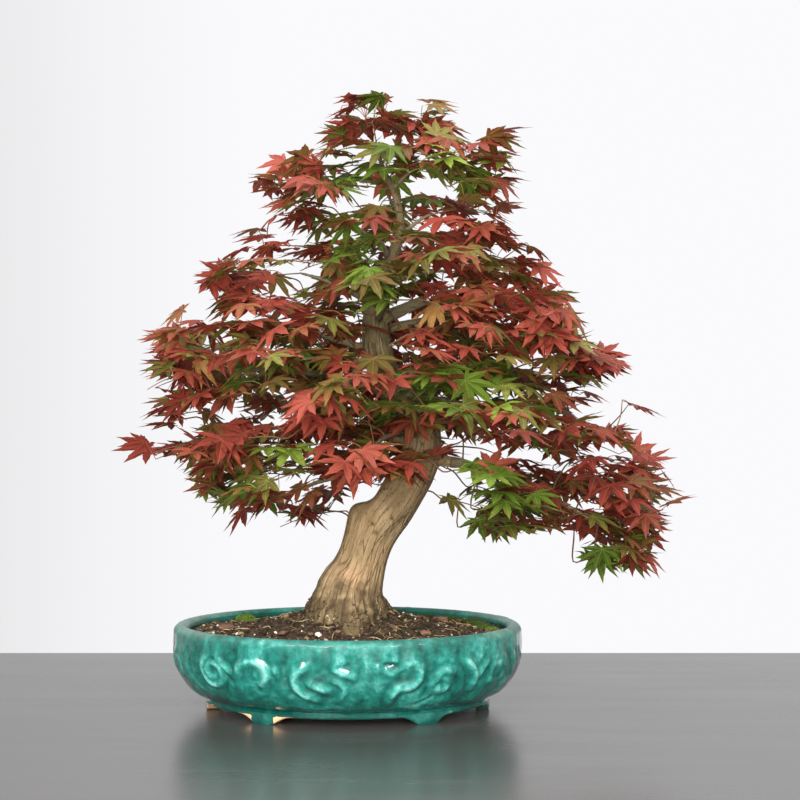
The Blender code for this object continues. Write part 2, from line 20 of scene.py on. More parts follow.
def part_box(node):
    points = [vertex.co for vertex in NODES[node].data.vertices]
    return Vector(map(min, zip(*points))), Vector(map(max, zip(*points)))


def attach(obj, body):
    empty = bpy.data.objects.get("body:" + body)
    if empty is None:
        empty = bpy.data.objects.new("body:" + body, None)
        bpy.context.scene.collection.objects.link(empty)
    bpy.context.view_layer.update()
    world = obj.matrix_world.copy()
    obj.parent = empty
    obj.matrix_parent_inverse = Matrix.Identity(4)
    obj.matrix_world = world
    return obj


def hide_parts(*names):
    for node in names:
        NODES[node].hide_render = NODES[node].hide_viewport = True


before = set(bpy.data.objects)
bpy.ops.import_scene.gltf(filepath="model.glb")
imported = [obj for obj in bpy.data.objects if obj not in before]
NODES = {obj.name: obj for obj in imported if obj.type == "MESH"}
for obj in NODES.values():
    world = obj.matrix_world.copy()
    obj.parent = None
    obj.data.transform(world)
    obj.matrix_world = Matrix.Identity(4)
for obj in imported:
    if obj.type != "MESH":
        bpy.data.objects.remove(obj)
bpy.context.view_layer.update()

MM = 0.001
pot_low, pot_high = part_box("pot")
POT = Vector(((pot_low.x + pot_high.x) / 2, (pot_low.y + pot_high.y) / 2, 0))
print(f"{len(NODES)} measured parts, the pot's centre is at {POT.x / MM:.1f}, {POT.y / MM:.1f} mm")


# %% [markdown]
# ## Camera, table and light
#
# The tree is seen level, from the height of its lower branches and a little to the right of the pot.
# A long lens keeps the pot's oval calm. A camera can be aimed with a constraint or by hand. Here it is
# only turned up from its rest, which looks straight down, so it looks along +Y.

# %% Camera
camera = bpy.data.objects.new("camera", bpy.data.cameras.new("camera"))
bpy.context.scene.collection.objects.link(camera)
camera.location = POT + Vector((44.8, -1420, 265)) * MM
camera.rotation_euler = (math.radians(90), 0, 0)
camera.data.lens = 74.1
bpy.context.scene.camera = camera
print("camera", [round(v, 3) for v in camera.location])


# %% [markdown]
# ## Writing materials as sums
#
# A material is a net of nodes. Clicked together it is quick to see, but written as code it gets long.
# So one small class wraps a node's output and gives it plus, minus and times, and a second one makes
# any node from its type, its settings and what goes into its sockets.


# %% A socket that can be added and multiplied
class Value:
    def __init__(self, finish, socket):
        self.finish, self.socket = finish, socket

    def maths(self, operation, *terms):
        return self.finish.node("ShaderNodeMath", {"operation": operation}, dict(enumerate(terms)))

    def __add__(self, other):
        return self.maths("ADD", self, other)

    def __sub__(self, other):
        return self.maths("SUBTRACT", self, other)

    def __rsub__(self, other):
        return self.maths("SUBTRACT", other, self)

    def __mul__(self, other):
        return self.maths("MULTIPLY", self, other)

    __radd__, __rmul__ = __add__, __mul__

    def clamped(self):
        settings = {"operation": "ADD", "use_clamp": True}
        return self.finish.node("ShaderNodeMath", settings, {0: self, 1: 0.0})

    def step(self, low, high):
        """0 below low, 1 above high and a smooth slope between."""
        settings = {"interpolation_type": "SMOOTHSTEP"}
        return self.finish.node("ShaderNodeMapRange", settings, {0: self, 1: low, 2: high})


# %% A material made of such sockets
def colour(red, green, blue):
    """A colour from the 0 to 255 numbers that a screen's colour picker shows."""
    shares = [c / 255 for c in (red, green, blue)]
    linear = [c / 12.92 if c < 10 / 255 else ((c + 0.055) / 1.055) ** 2.4 for c in shares]
    return (*linear, 1.0)


class Finish:
    def __init__(self, name, tree=None):
        if tree is None:
            self.material = bpy.data.materials.new(name)
            self.material.use_nodes = True
            tree = self.material.node_tree
            self.shader = tree.nodes["Principled BSDF"]
        self.nodes, self.links = tree.nodes, tree.links

    def node(self, kind, settings=None, sockets=None, output=0):
        made = self.nodes.new(kind)
        for key, value in (settings or {}).items():
            if key == "stops":
                for _ in value[2:]:
                    made.color_ramp.elements.new(0.5)
                for element, (place, tint) in zip(made.color_ramp.elements, value):
                    element.position, element.color = place, tint
            else:
                setattr(made, key, value)
        for key, value in (sockets or {}).items():
            self.put(made.inputs[key], value)
        return Value(self, made.outputs[output])

    def put(self, socket, value):
        if isinstance(value, Value):
            self.links.new(value.socket, socket)
        else:
            socket.default_value = value

    def set(self, **sockets):
        """Sets the shader's own sockets, with _ for the space in a socket's name."""
        for key, value in sockets.items():
            self.put(self.shader.inputs[key.replace("_", " ")], value)

    def place(self):
        return self.node("ShaderNodeTexCoord", output="Object")

    def stretched(self, where, scale):
        return self.node("ShaderNodeMapping", {"vector_type": "POINT"}, {"Vector": where, "Scale": scale})

    def attribute(self, name, output="Fac"):
        return self.node("ShaderNodeAttribute", {"attribute_name": name}, output=output)

    def parts(self, where):
        split = self.node("ShaderNodeSeparateXYZ", sockets={0: where})
        return [Value(self, out) for out in split.socket.node.outputs]

    def noise(self, where, size, detail=3.0, roughness=0.55, twist=0.0):
        """Cloudy noise from 0 to 1, whose lumps are about size metres across."""
        sockets = {"Vector": where, "Scale": 1 / size, "Detail": detail, "Roughness": roughness}
        return self.node("ShaderNodeTexNoise", sockets={**sockets, "Distortion": twist})

    def cells(self, where, size, feature="F1"):
        return self.node("ShaderNodeTexVoronoi", {"feature": feature}, {"Vector": where, "Scale": 1 / size})

    def mix(self, amount, first, second, blend="MIX"):
        settings = {"data_type": "RGBA", "blend_type": blend}
        return self.node("ShaderNodeMix", settings, {0: amount, 6: first, 7: second}, output=2)

    def ramp(self, value, stops):
        """A colour for each value from 0 to 1. A stop is a place with red, green and blue."""
        stops = [(place, colour(*tint)) for place, *tint in stops]
        return self.node("ShaderNodeValToRGB", {"stops": stops}, {0: value})

    def bumps(self, height, depth, strength=1.0, under=None):
        sockets = {"Height": height, "Distance": depth, "Strength": strength}
        if under:
            sockets["Normal"] = under
        return self.node("ShaderNodeBump", sockets=sockets)


# %% [markdown]
# The table is a plain pale grey sheet that ends a little way behind the tree, so the plant stands
# against a bright empty wall. It has a faint gloss, which catches a soft dark likeness of the pot. Real
# studio light is big soft lamps and white walls. Here the world is the walls, and five square area
# lights are the lamps. The big one in front fills the shadows and isn't mirrored in the glaze. Two small
# ones on the left and right and a tiny one between them are, as crisp highlights. One hangs above.

# %% Table
bpy.ops.object.select_all(action="DESELECT")
bpy.ops.mesh.primitive_plane_add(size=1, location=POT + Vector((0, -1.2, 0)))
table = bpy.context.object
table.name = "table_top"
table.scale = (6, 3.01, 1)
bpy.ops.object.transform_apply()
tabletop = Finish("pale_table")
spread = tabletop.noise(tabletop.stretched(tabletop.place(), (1, 6, 1)), 0.25, detail=4.0)
tabletop.set(Base_Color=tabletop.mix(spread, colour(60, 58, 56), colour(78, 76, 74)))
tabletop.set(Roughness=0.2 + 0.12 * spread, Specular_IOR_Level=0.75)
table.data.materials.append(tabletop.material)

# %% Lamps
world = bpy.context.scene.world or bpy.data.worlds.new("studio")
bpy.context.scene.world = world
bpy.context.scene.view_settings.view_transform = "Standard"
world.use_nodes = True
walls = Finish("walls", world.node_tree)
across, _, _ = walls.parts(walls.node("ShaderNodeTexCoord", output="Generated"))
left_wall = (1 - across.step(-0.62, -0.06)) * 0.75
right_wall = across.step(0.3, 0.75) * 0.7
shaded = left_wall.maths("MAXIMUM", left_wall, right_wall)
wall_tint = walls.mix(shaded, colour(250, 250, 252), colour(128, 126, 124))
walls.put(walls.nodes["Background"].inputs["Color"], wall_tint)
walls.nodes["Background"].inputs["Strength"].default_value = 1.0


def lamp(name, place, size, watts, aim=(0, 0, 220), mirrored=True):
    light = bpy.data.lights.new(name, "AREA")
    light.shape, light.size, light.energy = "SQUARE", size, watts
    made = bpy.data.objects.new(name, light)
    bpy.context.scene.collection.objects.link(made)
    made.visible_glossy = mirrored
    made.location = POT + Vector(place) * MM
    towards = POT + Vector(aim) * MM - made.location
    made.rotation_euler = towards.to_track_quat("-Z", "Y").to_euler()


lamp("lamp_left", (-560, -1280, 1250), 0.55, 18)
lamp("lamp_front", (-180, -1950, 380), 1.0, 66, aim=(0, 0, 240), mirrored=False)
lamp("lamp_right", (620, -1300, 1050), 0.28, 8)
lamp("lamp_sparkle", (-100, -1500, 900), 0.2, 5)
lamp("lamp_above", (100, 100, 1600), 0.9, 8)
print("table and five lamps")


# %% [markdown]
# ## The pot
#
# A potter would press this oval bowl in a mould: an incurved wall with scrolls in low relief, a rounded
# lip, and a thin band that the six feet hang from. It could be lofted from curves. Here one oval ring is
# extruded upwards, row by row, and scaled to the wall's outline at each height, as one would pull up a
# clay wall. The rows on the wall are close together, because the relief is pushed out of them later.

# %% The wall's outline, from the middle of the underside to the middle of the floor inside
HALF_LENGTH, HALF_DEPTH = (pot_high.x - pot_low.x) / 2 / MM, (pot_high.y - pot_low.y) / 2 / MM
BELLY_Z, BOWL_TUCK, BOWL_DROP, BOWL_END = 58, 33, 46, math.radians(78)
BAND_INSET = 31
LIP_INSET, LIP_Z, LIP_HALF, LIP_TALL = 7, 67.2, 6.4, 6.3
CLAY, INNER_DROP = 10.3, 41.5
WALL_ROWS, LIP_ROWS, INNER_ROWS = 38, 14, 8
POT_AROUND = 640

outline = [(39, 9.4), (37, 6.0), (36, 5.7), (32.4, 5.7), (31.4, 6.4), (31, 8.5), (31, 10.8), (30.2, 11.7)]
for row in range(WALL_ROWS + 1):
    turn = BOWL_END * (1 - row / WALL_ROWS)
    outline.append((BOWL_TUCK * (1 - math.cos(turn)), BELLY_Z - BOWL_DROP * math.sin(turn)))
for row in range(1, LIP_ROWS + 1):
    turn = math.pi * (1 - row / LIP_ROWS)
    outline.append((LIP_INSET + LIP_HALF * math.cos(turn), LIP_Z + LIP_TALL * math.sin(turn)))
for row in range(1, INNER_ROWS + 1):
    turn = BOWL_END * row / INNER_ROWS
    inner_z = BELLY_Z - INNER_DROP * math.sin(turn) / math.sin(BOWL_END)
    outline.append((CLAY + BOWL_TUCK * (1 - math.cos(turn)), inner_z))
print(len(outline), "rows")


# %% Pull the wall up
def only(made):
    """Selects one object and nothing else."""
    if bpy.context.object and bpy.context.object.mode != "OBJECT":
        bpy.ops.object.mode_set(mode="OBJECT")
    bpy.ops.object.select_all(action="DESELECT")
    made.select_set(True)
    bpy.context.view_layer.objects.active = made


def pull_up(name, rows, around):
    """Pulls an oval ring up through rows of inset and height, and closes both ends."""
    bpy.ops.object.select_all(action="DESELECT")
    inset, z = rows[0]
    bpy.ops.mesh.primitive_circle_add(vertices=around, radius=1, fill_type="NGON", location=POT)
    made = bpy.context.object
    made.name = name
    made.scale = ((HALF_LENGTH - inset) * MM, (HALF_DEPTH - inset) * MM, 1)
    made.location.z = z * MM
    bpy.ops.object.transform_apply()
    bpy.ops.object.mode_set(mode="EDIT")
    bpy.ops.mesh.select_mode(type="EDGE")
    for (inset, z), (next_inset, next_z) in zip(rows, rows[1:]):
        bpy.ops.mesh.extrude_edges_move(TRANSFORM_OT_translate={"value": (0, 0, (next_z - z) * MM)})
        wider = (HALF_LENGTH - next_inset) / (HALF_LENGTH - inset)
        deeper = (HALF_DEPTH - next_inset) / (HALF_DEPTH - inset)
        bpy.ops.transform.resize(value=(wider, deeper, 1), center_override=POT)
    bpy.ops.mesh.edge_face_add()
    bpy.ops.mesh.select_all(action="SELECT")
    bpy.ops.mesh.normals_make_consistent(inside=False)
    only(made)
    return made


pot = pull_up("glazed_pot", outline, POT_AROUND)
print(len(pot.data.vertices), "points in the bowl")

# %% [markdown]
# Water leaves through two holes in the floor. They are cut with a Boolean, like a corer through soft
# clay, before the relief is pushed out, so that nothing is left to repair.


# %% Cut the two drain holes
def apply_modifier(made, kind, **settings):
    only(made)
    modifier = made.modifiers.new(kind.lower(), kind)
    for key, value in settings.items():
        setattr(modifier, key, value)
    bpy.ops.object.modifier_apply(modifier=modifier.name)


for side in (-1, 1):
    bpy.ops.object.select_all(action="DESELECT")
    middle = POT + Vector((60 * side, 0, 13)) * MM
    bpy.ops.mesh.primitive_cylinder_add(vertices=48, radius=9 * MM, depth=22 * MM, location=middle)
    corer = bpy.context.object
    apply_modifier(pot, "BOOLEAN", operation="DIFFERENCE", solver="EXACT", object=corer)
    bpy.data.objects.remove(corer)
print(len(pot.data.vertices), "points after coring")


# %% [markdown]
# The relief is a frieze of plain scrolls: spirals, hooks, waves and a pair of leaf shapes. Each stroke
# is a smooth line on the wall. A place on the wall is given by how far round it is from the middle of
# the front, and how high it is above the table. The wall is pushed out along each stroke and sinks a
# little beside it, as soft clay does. The frieze is fainter at the pot's ends, and the same strokes run
# round the back.


# %% A smooth line through a few points
def smooth(points, steps):
    """Catmull-Rom points through a list of points of any dimension."""
    points = np.array(points, float)
    ends = [2 * points[0] - points[1]], [2 * points[-1] - points[-2]]
    points = np.concatenate((ends[0], points, ends[1]))
    found = []
    for a, b, c, d in zip(points, points[1:], points[2:], points[3:]):
        for i in range(steps):
            t = i / steps
            square, cube = (2 * a - 5 * b + 4 * c - d) * t * t, (3 * b - a - 3 * c + d) * t**3
            found.append(0.5 * (2 * b + (c - a) * t + square + cube))
    found.append(points[-2])
    return np.array(found)


def spiral(middle, radius, turns, start, wind=1):
    """Points of a spiral that closes in on its middle."""
    found = []
    for i in range(int(turns * 9) + 1):
        turn = math.radians(start) + wind * math.tau * i / 9
        reach = radius * (1 - 0.82 * i / (turns * 9))
        found.append((middle[0] + reach * math.cos(turn), middle[1] + 0.95 * reach * math.sin(turn)))
    return found


# %% The strokes: half-width, height, points
STROKES = [  # places in mm: round the wall from the middle of the front, and height
    (2.4, 1.5, spiral((-117, 44), 15, 1.9, 60)),
    (1.5, -1.4, [(-119, 58), (-110, 50), (-101, 41), (-95, 33)]),
    (2.2, 1.5, [(-114, 60), (-105, 51), (-97, 43)]),
    (1.5, -1.3, [(-90, 59), (-95, 50), (-99, 43)]),
    (2.5, 1.7, [(-93, 42), (-88, 51), (-76, 55), (-66, 51), (-64, 43), (-70, 37)]),
    (1.3, -1.2, [(-80, 41), (-75, 49), (-70, 40)]),
    (2.0, 1.0, [(-57, 52), (-56, 46)]),
    (1.8, 0.9, [(-49, 51), (-49, 45)]),
    (2.9, 2.0, [(-29, 54), (-38, 48), (-41, 39), (-35, 31), (-23, 26)]),
    (2.8, 1.9, [(-30, 40), (-23, 37), (-13, 33)]),
    (1.4, -1.2, [(-43, 50), (-46, 40), (-40, 29), (-30, 23)]),
    (2.4, 1.6, [(6, 60), (-4, 57), (-8, 52), (0, 48), (9, 45)]),
    (1.5, -1.2, [(-2, 54), (4, 55), (8, 58)]),
    (2.0, 1.0, [(-11, 42), (-2, 39), (0, 31), (-5, 25)]),
    (2.2, 1.1, [(17, 57), (20, 52)]),
    (1.9, 1.1, [(27, 55), (28, 48)]),
    (2.0, 1.1, [(31, 57), (38, 60), (46, 55)]),
    (1.3, -1.3, [(32, 55), (39, 55), (46, 53)]),
    (2.0, 1.0, [(31, 51), (38, 47), (45, 50)]),
    (2.9, 2.0, [(48, 53), (57, 56), (63, 50), (62, 41), (56, 36), (47, 35), (42, 30), (41, 23)]),
    (1.5, -1.4, [(66, 47), (66, 38), (58, 31), (49, 27), (48, 21)]),
    (2.6, 1.5, [(77, 41), (84, 47), (92, 46)]),
    (2.4, 1.3, spiral((84, 35), 9, 1.2, 190, wind=-1)),
    (1.4, -1.3, [(64, 20), (72, 22), (82, 28)]),
    (2.6, 1.9, [(103, 56), (111, 49), (116, 41), (117, 30)]),
    (2.2, 1.5, [(129, 53), (123, 46), (118, 38)]),
    (1.4, -1.2, [(98, 53), (106, 44), (110, 33)]),
    (2.6, 1.6, spiral((143, 42), 14, 1.6, 120, wind=-1)),
    (2.4, 1.5, [(163, 56), (170, 46), (168, 34), (158, 26)]),
    (2.4, 1.5, [(-143, 55), (-153, 46), (-150, 35), (-141, 29)]),
    (2.6, 1.6, spiral((-176, 43), 13, 1.6, 60)),
    (2.2, 1.2, [(186, 52), (195, 46), (200, 36)]),
]
WALK = np.linspace(0, math.tau, 1441)
STRIDE = np.hypot(HALF_LENGTH * np.cos(WALK), HALF_DEPTH * np.sin(WALK)) * (WALK[1] - WALK[0])
ROUND = np.concatenate(([0], np.cumsum(STRIDE[:-1])))
print(f"{len(STROKES)} strokes on a wall {ROUND[-1]:.0f} mm round")


# %% Push the relief out of the wall
def way_round(x, y):
    """How far round the wall a point is from the middle of the front, in mm, to the right positive."""
    turn = np.arctan2(x / HALF_LENGTH, -y / HALF_DEPTH)
    return np.sign(turn) * np.interp(np.abs(turn), WALK, ROUND)


def read_points(mesh):
    points = np.empty(len(mesh.vertices) * 3)
    mesh.vertices.foreach_get("co", points)
    return points.reshape(-1, 3)


def read_normals(mesh):
    normals = np.empty(len(mesh.vertices) * 3)
    mesh.vertices.foreach_get("normal", normals)
    return normals.reshape(-1, 3)


def write_points(mesh, points):
    mesh.vertices.foreach_set("co", np.ascontiguousarray(points, dtype=np.float32).ravel())
    mesh.update()


def paint(mesh, name, values):
    """Stores one number for each point of a mesh, for its material to read."""
    layer = mesh.attributes.new(name, "FLOAT", "POINT")
    layer.data.foreach_set("value", np.ascontiguousarray(values, dtype=np.float32))


def relief_height(along, z):
    """How far the frieze stands out at a place on the wall, in mm."""
    ridge, groove = np.zeros(len(along)), np.zeros(len(along))
    for width, height, points in STROKES:
        width, height = width * 1.12, height * 1.45
        line = smooth(points, 5)
        near, taper = np.full(len(along), 1e9), np.zeros(len(along))
        box = (line.min(0) - 9, line.max(0) + 9)
        close = (along > box[0][0]) & (along < box[1][0]) & (z > box[0][1]) & (z < box[1][1])
        for i, (a, b) in enumerate(zip(line, line[1:])):
            span = b - a
            t = ((along[close] - a[0]) * span[0] + (z[close] - a[1]) * span[1]) / (span @ span)
            t = np.clip(t, 0, 1)
            gap = np.hypot(along[close] - a[0] - t * span[0], z[close] - a[1] - t * span[1])
            share = (i + t) / (len(line) - 1)
            closer = gap < near[close]
            near[close] = np.where(closer, gap, near[close])
            thinner = np.minimum(1, 0.25 + 5 * np.minimum(share, 1 - share))
            taper[close] = np.where(closer, thinner, taper[close])
        shape = taper * np.exp(-((near / width) ** 2))
        if height > 0:
            ridge = np.maximum(ridge, height * shape)
            groove = np.minimum(groove, -0.35 * height * np.exp(-(((near - 1.9 * width) / width) ** 2)))
        else:
            groove = np.minimum(groove, height * shape)
    return ridge + groove * (1 - np.clip(ridge, 0, 1))


points = read_points(pot.data)
local = (points - np.array(POT)) / MM
along = way_round(local[:, 0], local[:, 1])
half_way = ROUND[-1] / 2
behind = np.abs(along) > half_way / 2
along = np.where(behind, (along - half_way * np.sign(along)), along)
reach = np.hypot(local[:, 0] / HALF_LENGTH, local[:, 1] / HALF_DEPTH)
END_FROM, END_LONG, END_FADE = 122, 22, 0.62
at_end = np.clip((np.abs(along) - END_FROM) / END_LONG, 0, 1)
height = relief_height(along, local[:, 2]) * (1 - END_FADE * at_end)
lumps = np.array([noise.noise(Vector(p) / 13) + 0.6 * noise.noise(Vector(p) / 5.5) for p in local])
fade = np.clip((local[:, 2] - 13) / 6, 0, 1) * np.clip((66 - local[:, 2]) / 5, 0, 1)
height = height * fade + 0.75 * lumps * np.clip((local[:, 2] - 9) / 4, 0, 1)
outside = (reach > 0.7) & (read_normals(pot.data)[:, 2] < 0.97) & (local[:, 2] > 5)
outwards = np.einsum("ij,ij->i", read_normals(pot.data)[:, :2], local[:, :2]) > 0
outer_wall = outside & ((local[:, 2] > 66) | outwards)
height = np.where(outer_wall, height, 0)
write_points(pot.data, points + read_normals(pot.data) * height[:, None] * MM)
paint(pot.data, "relief", height)
paint(pot.data, "bare", np.zeros(len(points)))
facing = np.einsum("ij,ij->i", read_normals(pot.data)[:, :2], local[:, :2])
# A mask of the inner wall, which the glaze darkens as painted shade.
paint(pot.data, "inside", ((facing < 0) & (local[:, 2] < 70) & (local[:, 2] > 15)).astype(float))
print(f"relief from {height.min():.1f} to {height.max():.1f} mm")


# %% [markdown]
# Each foot is a little cloud: a rounded toe in the middle and two wings that sweep up to the band. One
# straight foot is made from a block, cut finely, and its underside is shaped. Six copies are then laid
# round the oval. The clay is bare under the wings, where the glaze was wiped off so that the pot would
# not stick to the kiln's shelf.

# %% One straight foot
FOOT_HALF, TOE_HALF, FOOT_TOP = 24, 8.5, 9.2


def underside(reach):
    sweep = np.clip((reach - TOE_HALF) / (FOOT_HALF - TOE_HALF), 0, 1)
    return 6.6 * np.sin(sweep * math.pi / 2) ** 0.85


bpy.ops.object.select_all(action="DESELECT")
bpy.ops.mesh.primitive_cube_add(size=1, location=(0, 0, 0))
foot = bpy.context.object
foot.scale = (2 * FOOT_HALF, 12, 1)
bpy.ops.object.transform_apply()
bpy.ops.object.mode_set(mode="EDIT")
bpy.ops.mesh.select_all(action="SELECT")
bpy.ops.mesh.subdivide(number_cuts=15)
only(foot)
shape = read_points(foot.data)
floor_z = underside(np.abs(shape[:, 0]))
rise = shape[:, 2] + 0.5
toe = np.exp(-((shape[:, 0] / 11) ** 4))
edge = np.clip(1 - rise * 2.2, 0, 1) ** 2
shape[:, 1] *= (1 + 0.16 * toe * (1 - rise)) * (1 - 0.22 * edge)
shape[:, 2] = floor_z + rise * (FOOT_TOP - floor_z)
write_points(foot.data, shape)
bare = np.clip((np.abs(shape[:, 0]) - 8.5) / 1.5, 0, 1) * np.clip((7.4 - shape[:, 2]) / 0.8, 0, 1)
print(len(foot.data.vertices), "points in one foot")

# %% Six feet round the oval
FEET = {0: 0.2, 56: 0.6, 124: 0.6, 180: 0.9, 236: 1.0, 304: 0.25}
feet = []
for angle, wiped in FEET.items():
    mesh = foot.data.copy()
    copy = bpy.data.objects.new("foot", mesh)
    bpy.context.scene.collection.objects.link(copy)
    at = math.radians(angle)
    inset = BAND_INSET + 4.6
    stride = math.hypot((HALF_LENGTH - inset) * math.sin(at), (HALF_DEPTH - inset) * math.cos(at))
    turn = at + shape[:, 0] / stride
    out = -shape[:, 1] - 1.2
    x = (HALF_LENGTH - inset - out) * np.cos(turn)
    y = (HALF_DEPTH - inset - out) * np.sin(turn)
    write_points(mesh, np.column_stack((x, y, shape[:, 2])) * MM + np.array(POT))
    paint(mesh, "bare", bare * wiped)
    paint(mesh, "relief", np.zeros(len(shape)))
    paint(mesh, "inside", np.zeros(len(shape)))
    feet.append(copy)
bpy.data.objects.remove(foot)
only(pot)
for copy in feet:
    copy.select_set(True)
bpy.ops.object.join()
bpy.ops.object.mode_set(mode="EDIT")
bpy.ops.mesh.select_all(action="SELECT")
bpy.ops.mesh.normals_make_consistent(inside=False)
only(pot)
bpy.ops.object.shade_smooth_by_angle(angle=math.radians(50))
print(len(pot.data.polygons), "faces in the pot")


# %% [markdown]
# The glaze is a glassy copper green. It runs thin and pale on the ridges and pools dark in the hollows.
# It is mottled all over, and the lip is whitish and duller where hands and years have rubbed it. There
# are a few rust specks. The band above the feet and the inner wall are painted darker, as painted shade.
# All of that is colour and roughness. The glossy skin is a clear coat.

# %% Glaze
glaze = Finish("turquoise_glaze")
where = glaze.place()
x_across, _, height_up = glaze.parts(where)
stands_out = glaze.attribute("relief")
cloud = glaze.noise(where, 0.026, detail=5.0, roughness=0.62, twist=0.6)
fleck = glaze.noise(where, 0.0065, detail=4.0, roughness=0.7)
thin = (0.52 + 0.15 * stands_out + 1.6 * (cloud - 0.5) + 1.0 * (fleck - 0.5)).clamped()
stops = [
    (0.0, 4, 50, 42), (0.3, 12, 84, 74), (0.58, 24, 110, 97), (0.82, 58, 142, 130),
    (1.0, 110, 176, 164),
]
tint = glaze.ramp(thin, stops)
crackle = glaze.cells(where, 0.0035, "DISTANCE_TO_EDGE").step(0.0, 0.05)
tint = glaze.mix((1 - crackle) * (fleck - 0.45).step(0.0, 0.2) * 0.35, tint, colour(22, 84, 76))
rub = glaze.noise(where, 0.010, detail=5.0, roughness=0.7)
ends = 0.12 + 0.45 * ((x_across - POT.x) * (x_across - POT.x)).step(0.0085, 0.0175)
worn = (height_up.step(0.066, 0.0735) * (rub - 0.2).step(0.0, 0.35) * ends).clamped()
tint = glaze.mix(worn * 0.75, tint, colour(150, 160, 152))
# Painted shade: the inner wall of the bowl is made a dark teal.
tint = glaze.mix(glaze.attribute("inside") * 0.7, tint, colour(14, 62, 48))
# Painted shade: the band under the bowl, just above the feet, is darkened.
painted_band_shade = (1 - height_up.step(0.0105, 0.019)) * 0.5
tint = glaze.mix(painted_band_shade, tint, colour(8, 66, 58))
rust = (glaze.noise(where, 0.006, detail=1.0) - 0.8).step(0.0, 0.01)
tint = glaze.mix(rust * 0.8, tint, colour(150, 110, 50))
clay_grain = glaze.noise(where, 0.002, detail=3.0)
clay = glaze.mix(clay_grain, colour(216, 150, 92), colour(242, 214, 172))
naked = (glaze.attribute("bare") + 0.5 * (glaze.noise(where, 0.006) - 0.5)).step(0.42, 0.5)
under = glaze.parts(glaze.node("ShaderNodeNewGeometry", output="Normal"))[2]
dusty = (1 - under.step(-0.97, -0.9)) * (1 - height_up.step(0.0105, 0.0115))
naked = naked.maths("MAXIMUM", naked, dusty)
glaze.set(Base_Color=glaze.mix(naked, tint, clay))
rubbed = height_up.step(0.066, 0.071)
glaze.set(Roughness=0.15 + 0.12 * fleck + 0.28 * rubbed + 0.5 * naked)
glaze.set(Coat_Weight=(1 - naked) * (0.95 - 0.85 * rubbed), Coat_Roughness=0.05, IOR=1.5)
pits = glaze.bumps(fleck + 0.6 * cloud, 0.0009, 0.65)
glaze.set(Normal=pits)
pot.data.materials.clear()
pot.data.materials.append(glaze.material)
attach(pot, "root")
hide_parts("pot")


# %% [markdown]
# ## Trunk and branches
#
# The wood is one grown thing, so it is one piece. The measured tree has the right course and girth but
# few facets. A copy of it is melted into a fine even skin with the Remesh modifier, which closes the
# joints between trunk and branches the way bark grows over them. Lumps and furrows are then pushed in
# and out along the grain.

# %% The trunk's course: x and y from the pot's centre, z, radius, in mm
TRUNK_COURSE = [
    (-1, -6, 50, 38), (0, -6, 70, 38), (1, -6, 88, 34.5), (3, -6, 104, 29), (9, -5, 118, 24),
    (14, -5, 133, 21.8), (19, -4, 148, 22.5), (26, -4, 163, 24.3), (35, -4, 176, 24), (50, -5, 194, 20),
    (61, -5, 213, 18.2), (64, -3, 234, 16.8), (53, 0, 258, 15.2), (34, 3, 283, 14.2), (25, 5, 312, 13),
    (25, 4, 349, 10.8), (34, 0, 380, 6.5), (45, -3, 408, 4.4), (42, -2, 438, 3.2), (31, 0, 462, 2.4),
    (25, 1, 482, 1.6),
]
course = smooth(TRUNK_COURSE, 8)
CORE, GIRTH = course[:, :3], course[:, 3]
print(f"trunk {np.linalg.norm(np.diff(CORE, axis=0), axis=1).sum():.0f} mm long")

# %% A fine skin over the measured tree
skin = NODES["tree"].data.copy()
skin.materials.clear()
wood = bpy.data.objects.new("maple_trunk", skin)
bpy.context.scene.collection.objects.link(wood)
only(wood)
bpy.ops.object.mode_set(mode="EDIT")
bpy.ops.mesh.select_all(action="SELECT")
bpy.ops.mesh.remove_doubles(threshold=0.00001)
only(wood)
apply_modifier(wood, "REMESH", mode="VOXEL", voxel_size=1.15 * MM)
apply_modifier(wood, "SMOOTH", factor=0.5, iterations=3)
print(len(wood.data.vertices), "points of bark")


# %% Where each point lies along the grain
def grain_of(local):
    """Places in mm squeezed along the wood, so a pattern made on them is drawn out along the grain."""
    tree = KDTree(len(CORE))
    for i, core in enumerate(CORE):
        tree.insert(core, i)
    tree.balance()
    nearest = np.array([tree.find(p)[1] for p in local])
    offset = local - CORE[nearest]
    gone = np.concatenate(([0], np.cumsum(np.linalg.norm(np.diff(CORE, axis=0), axis=1))))[nearest]
    distance = np.linalg.norm(offset, axis=1)
    on_trunk = distance < GIRTH[nearest] * 1.45 + 1.5
    turn = np.arctan2(offset[:, 1], offset[:, 0])
    trunk_grain = np.column_stack((22 * np.cos(turn), 22 * np.sin(turn), gone * 0.16))
    out = offset.copy()
    out[:, 2] = 0
    out /= np.maximum(np.linalg.norm(out, axis=1), 1e-6)[:, None]
    along_branch = np.einsum("ij,ij->i", offset, out)
    branch_grain = local - out * (along_branch * 0.85)[:, None]
    return np.where(on_trunk[:, None], trunk_grain, branch_grain), on_trunk, nearest


points = read_points(wood.data)
local = (points - np.array(POT)) / MM
grain, on_trunk, nearest = grain_of(local)
print(f"{on_trunk.mean():.0%} of the points are on the trunk")

# %% [markdown]
# Before the furrows come the big forms, moved as a sculptor's grab brush would: the flat-topped shoulder
# on the left where an old leader was cut off, the hollow above it, and the roots that swell where they
# go into the soil. Last, the points near the burl at the foot are drawn onto a knobby ball.

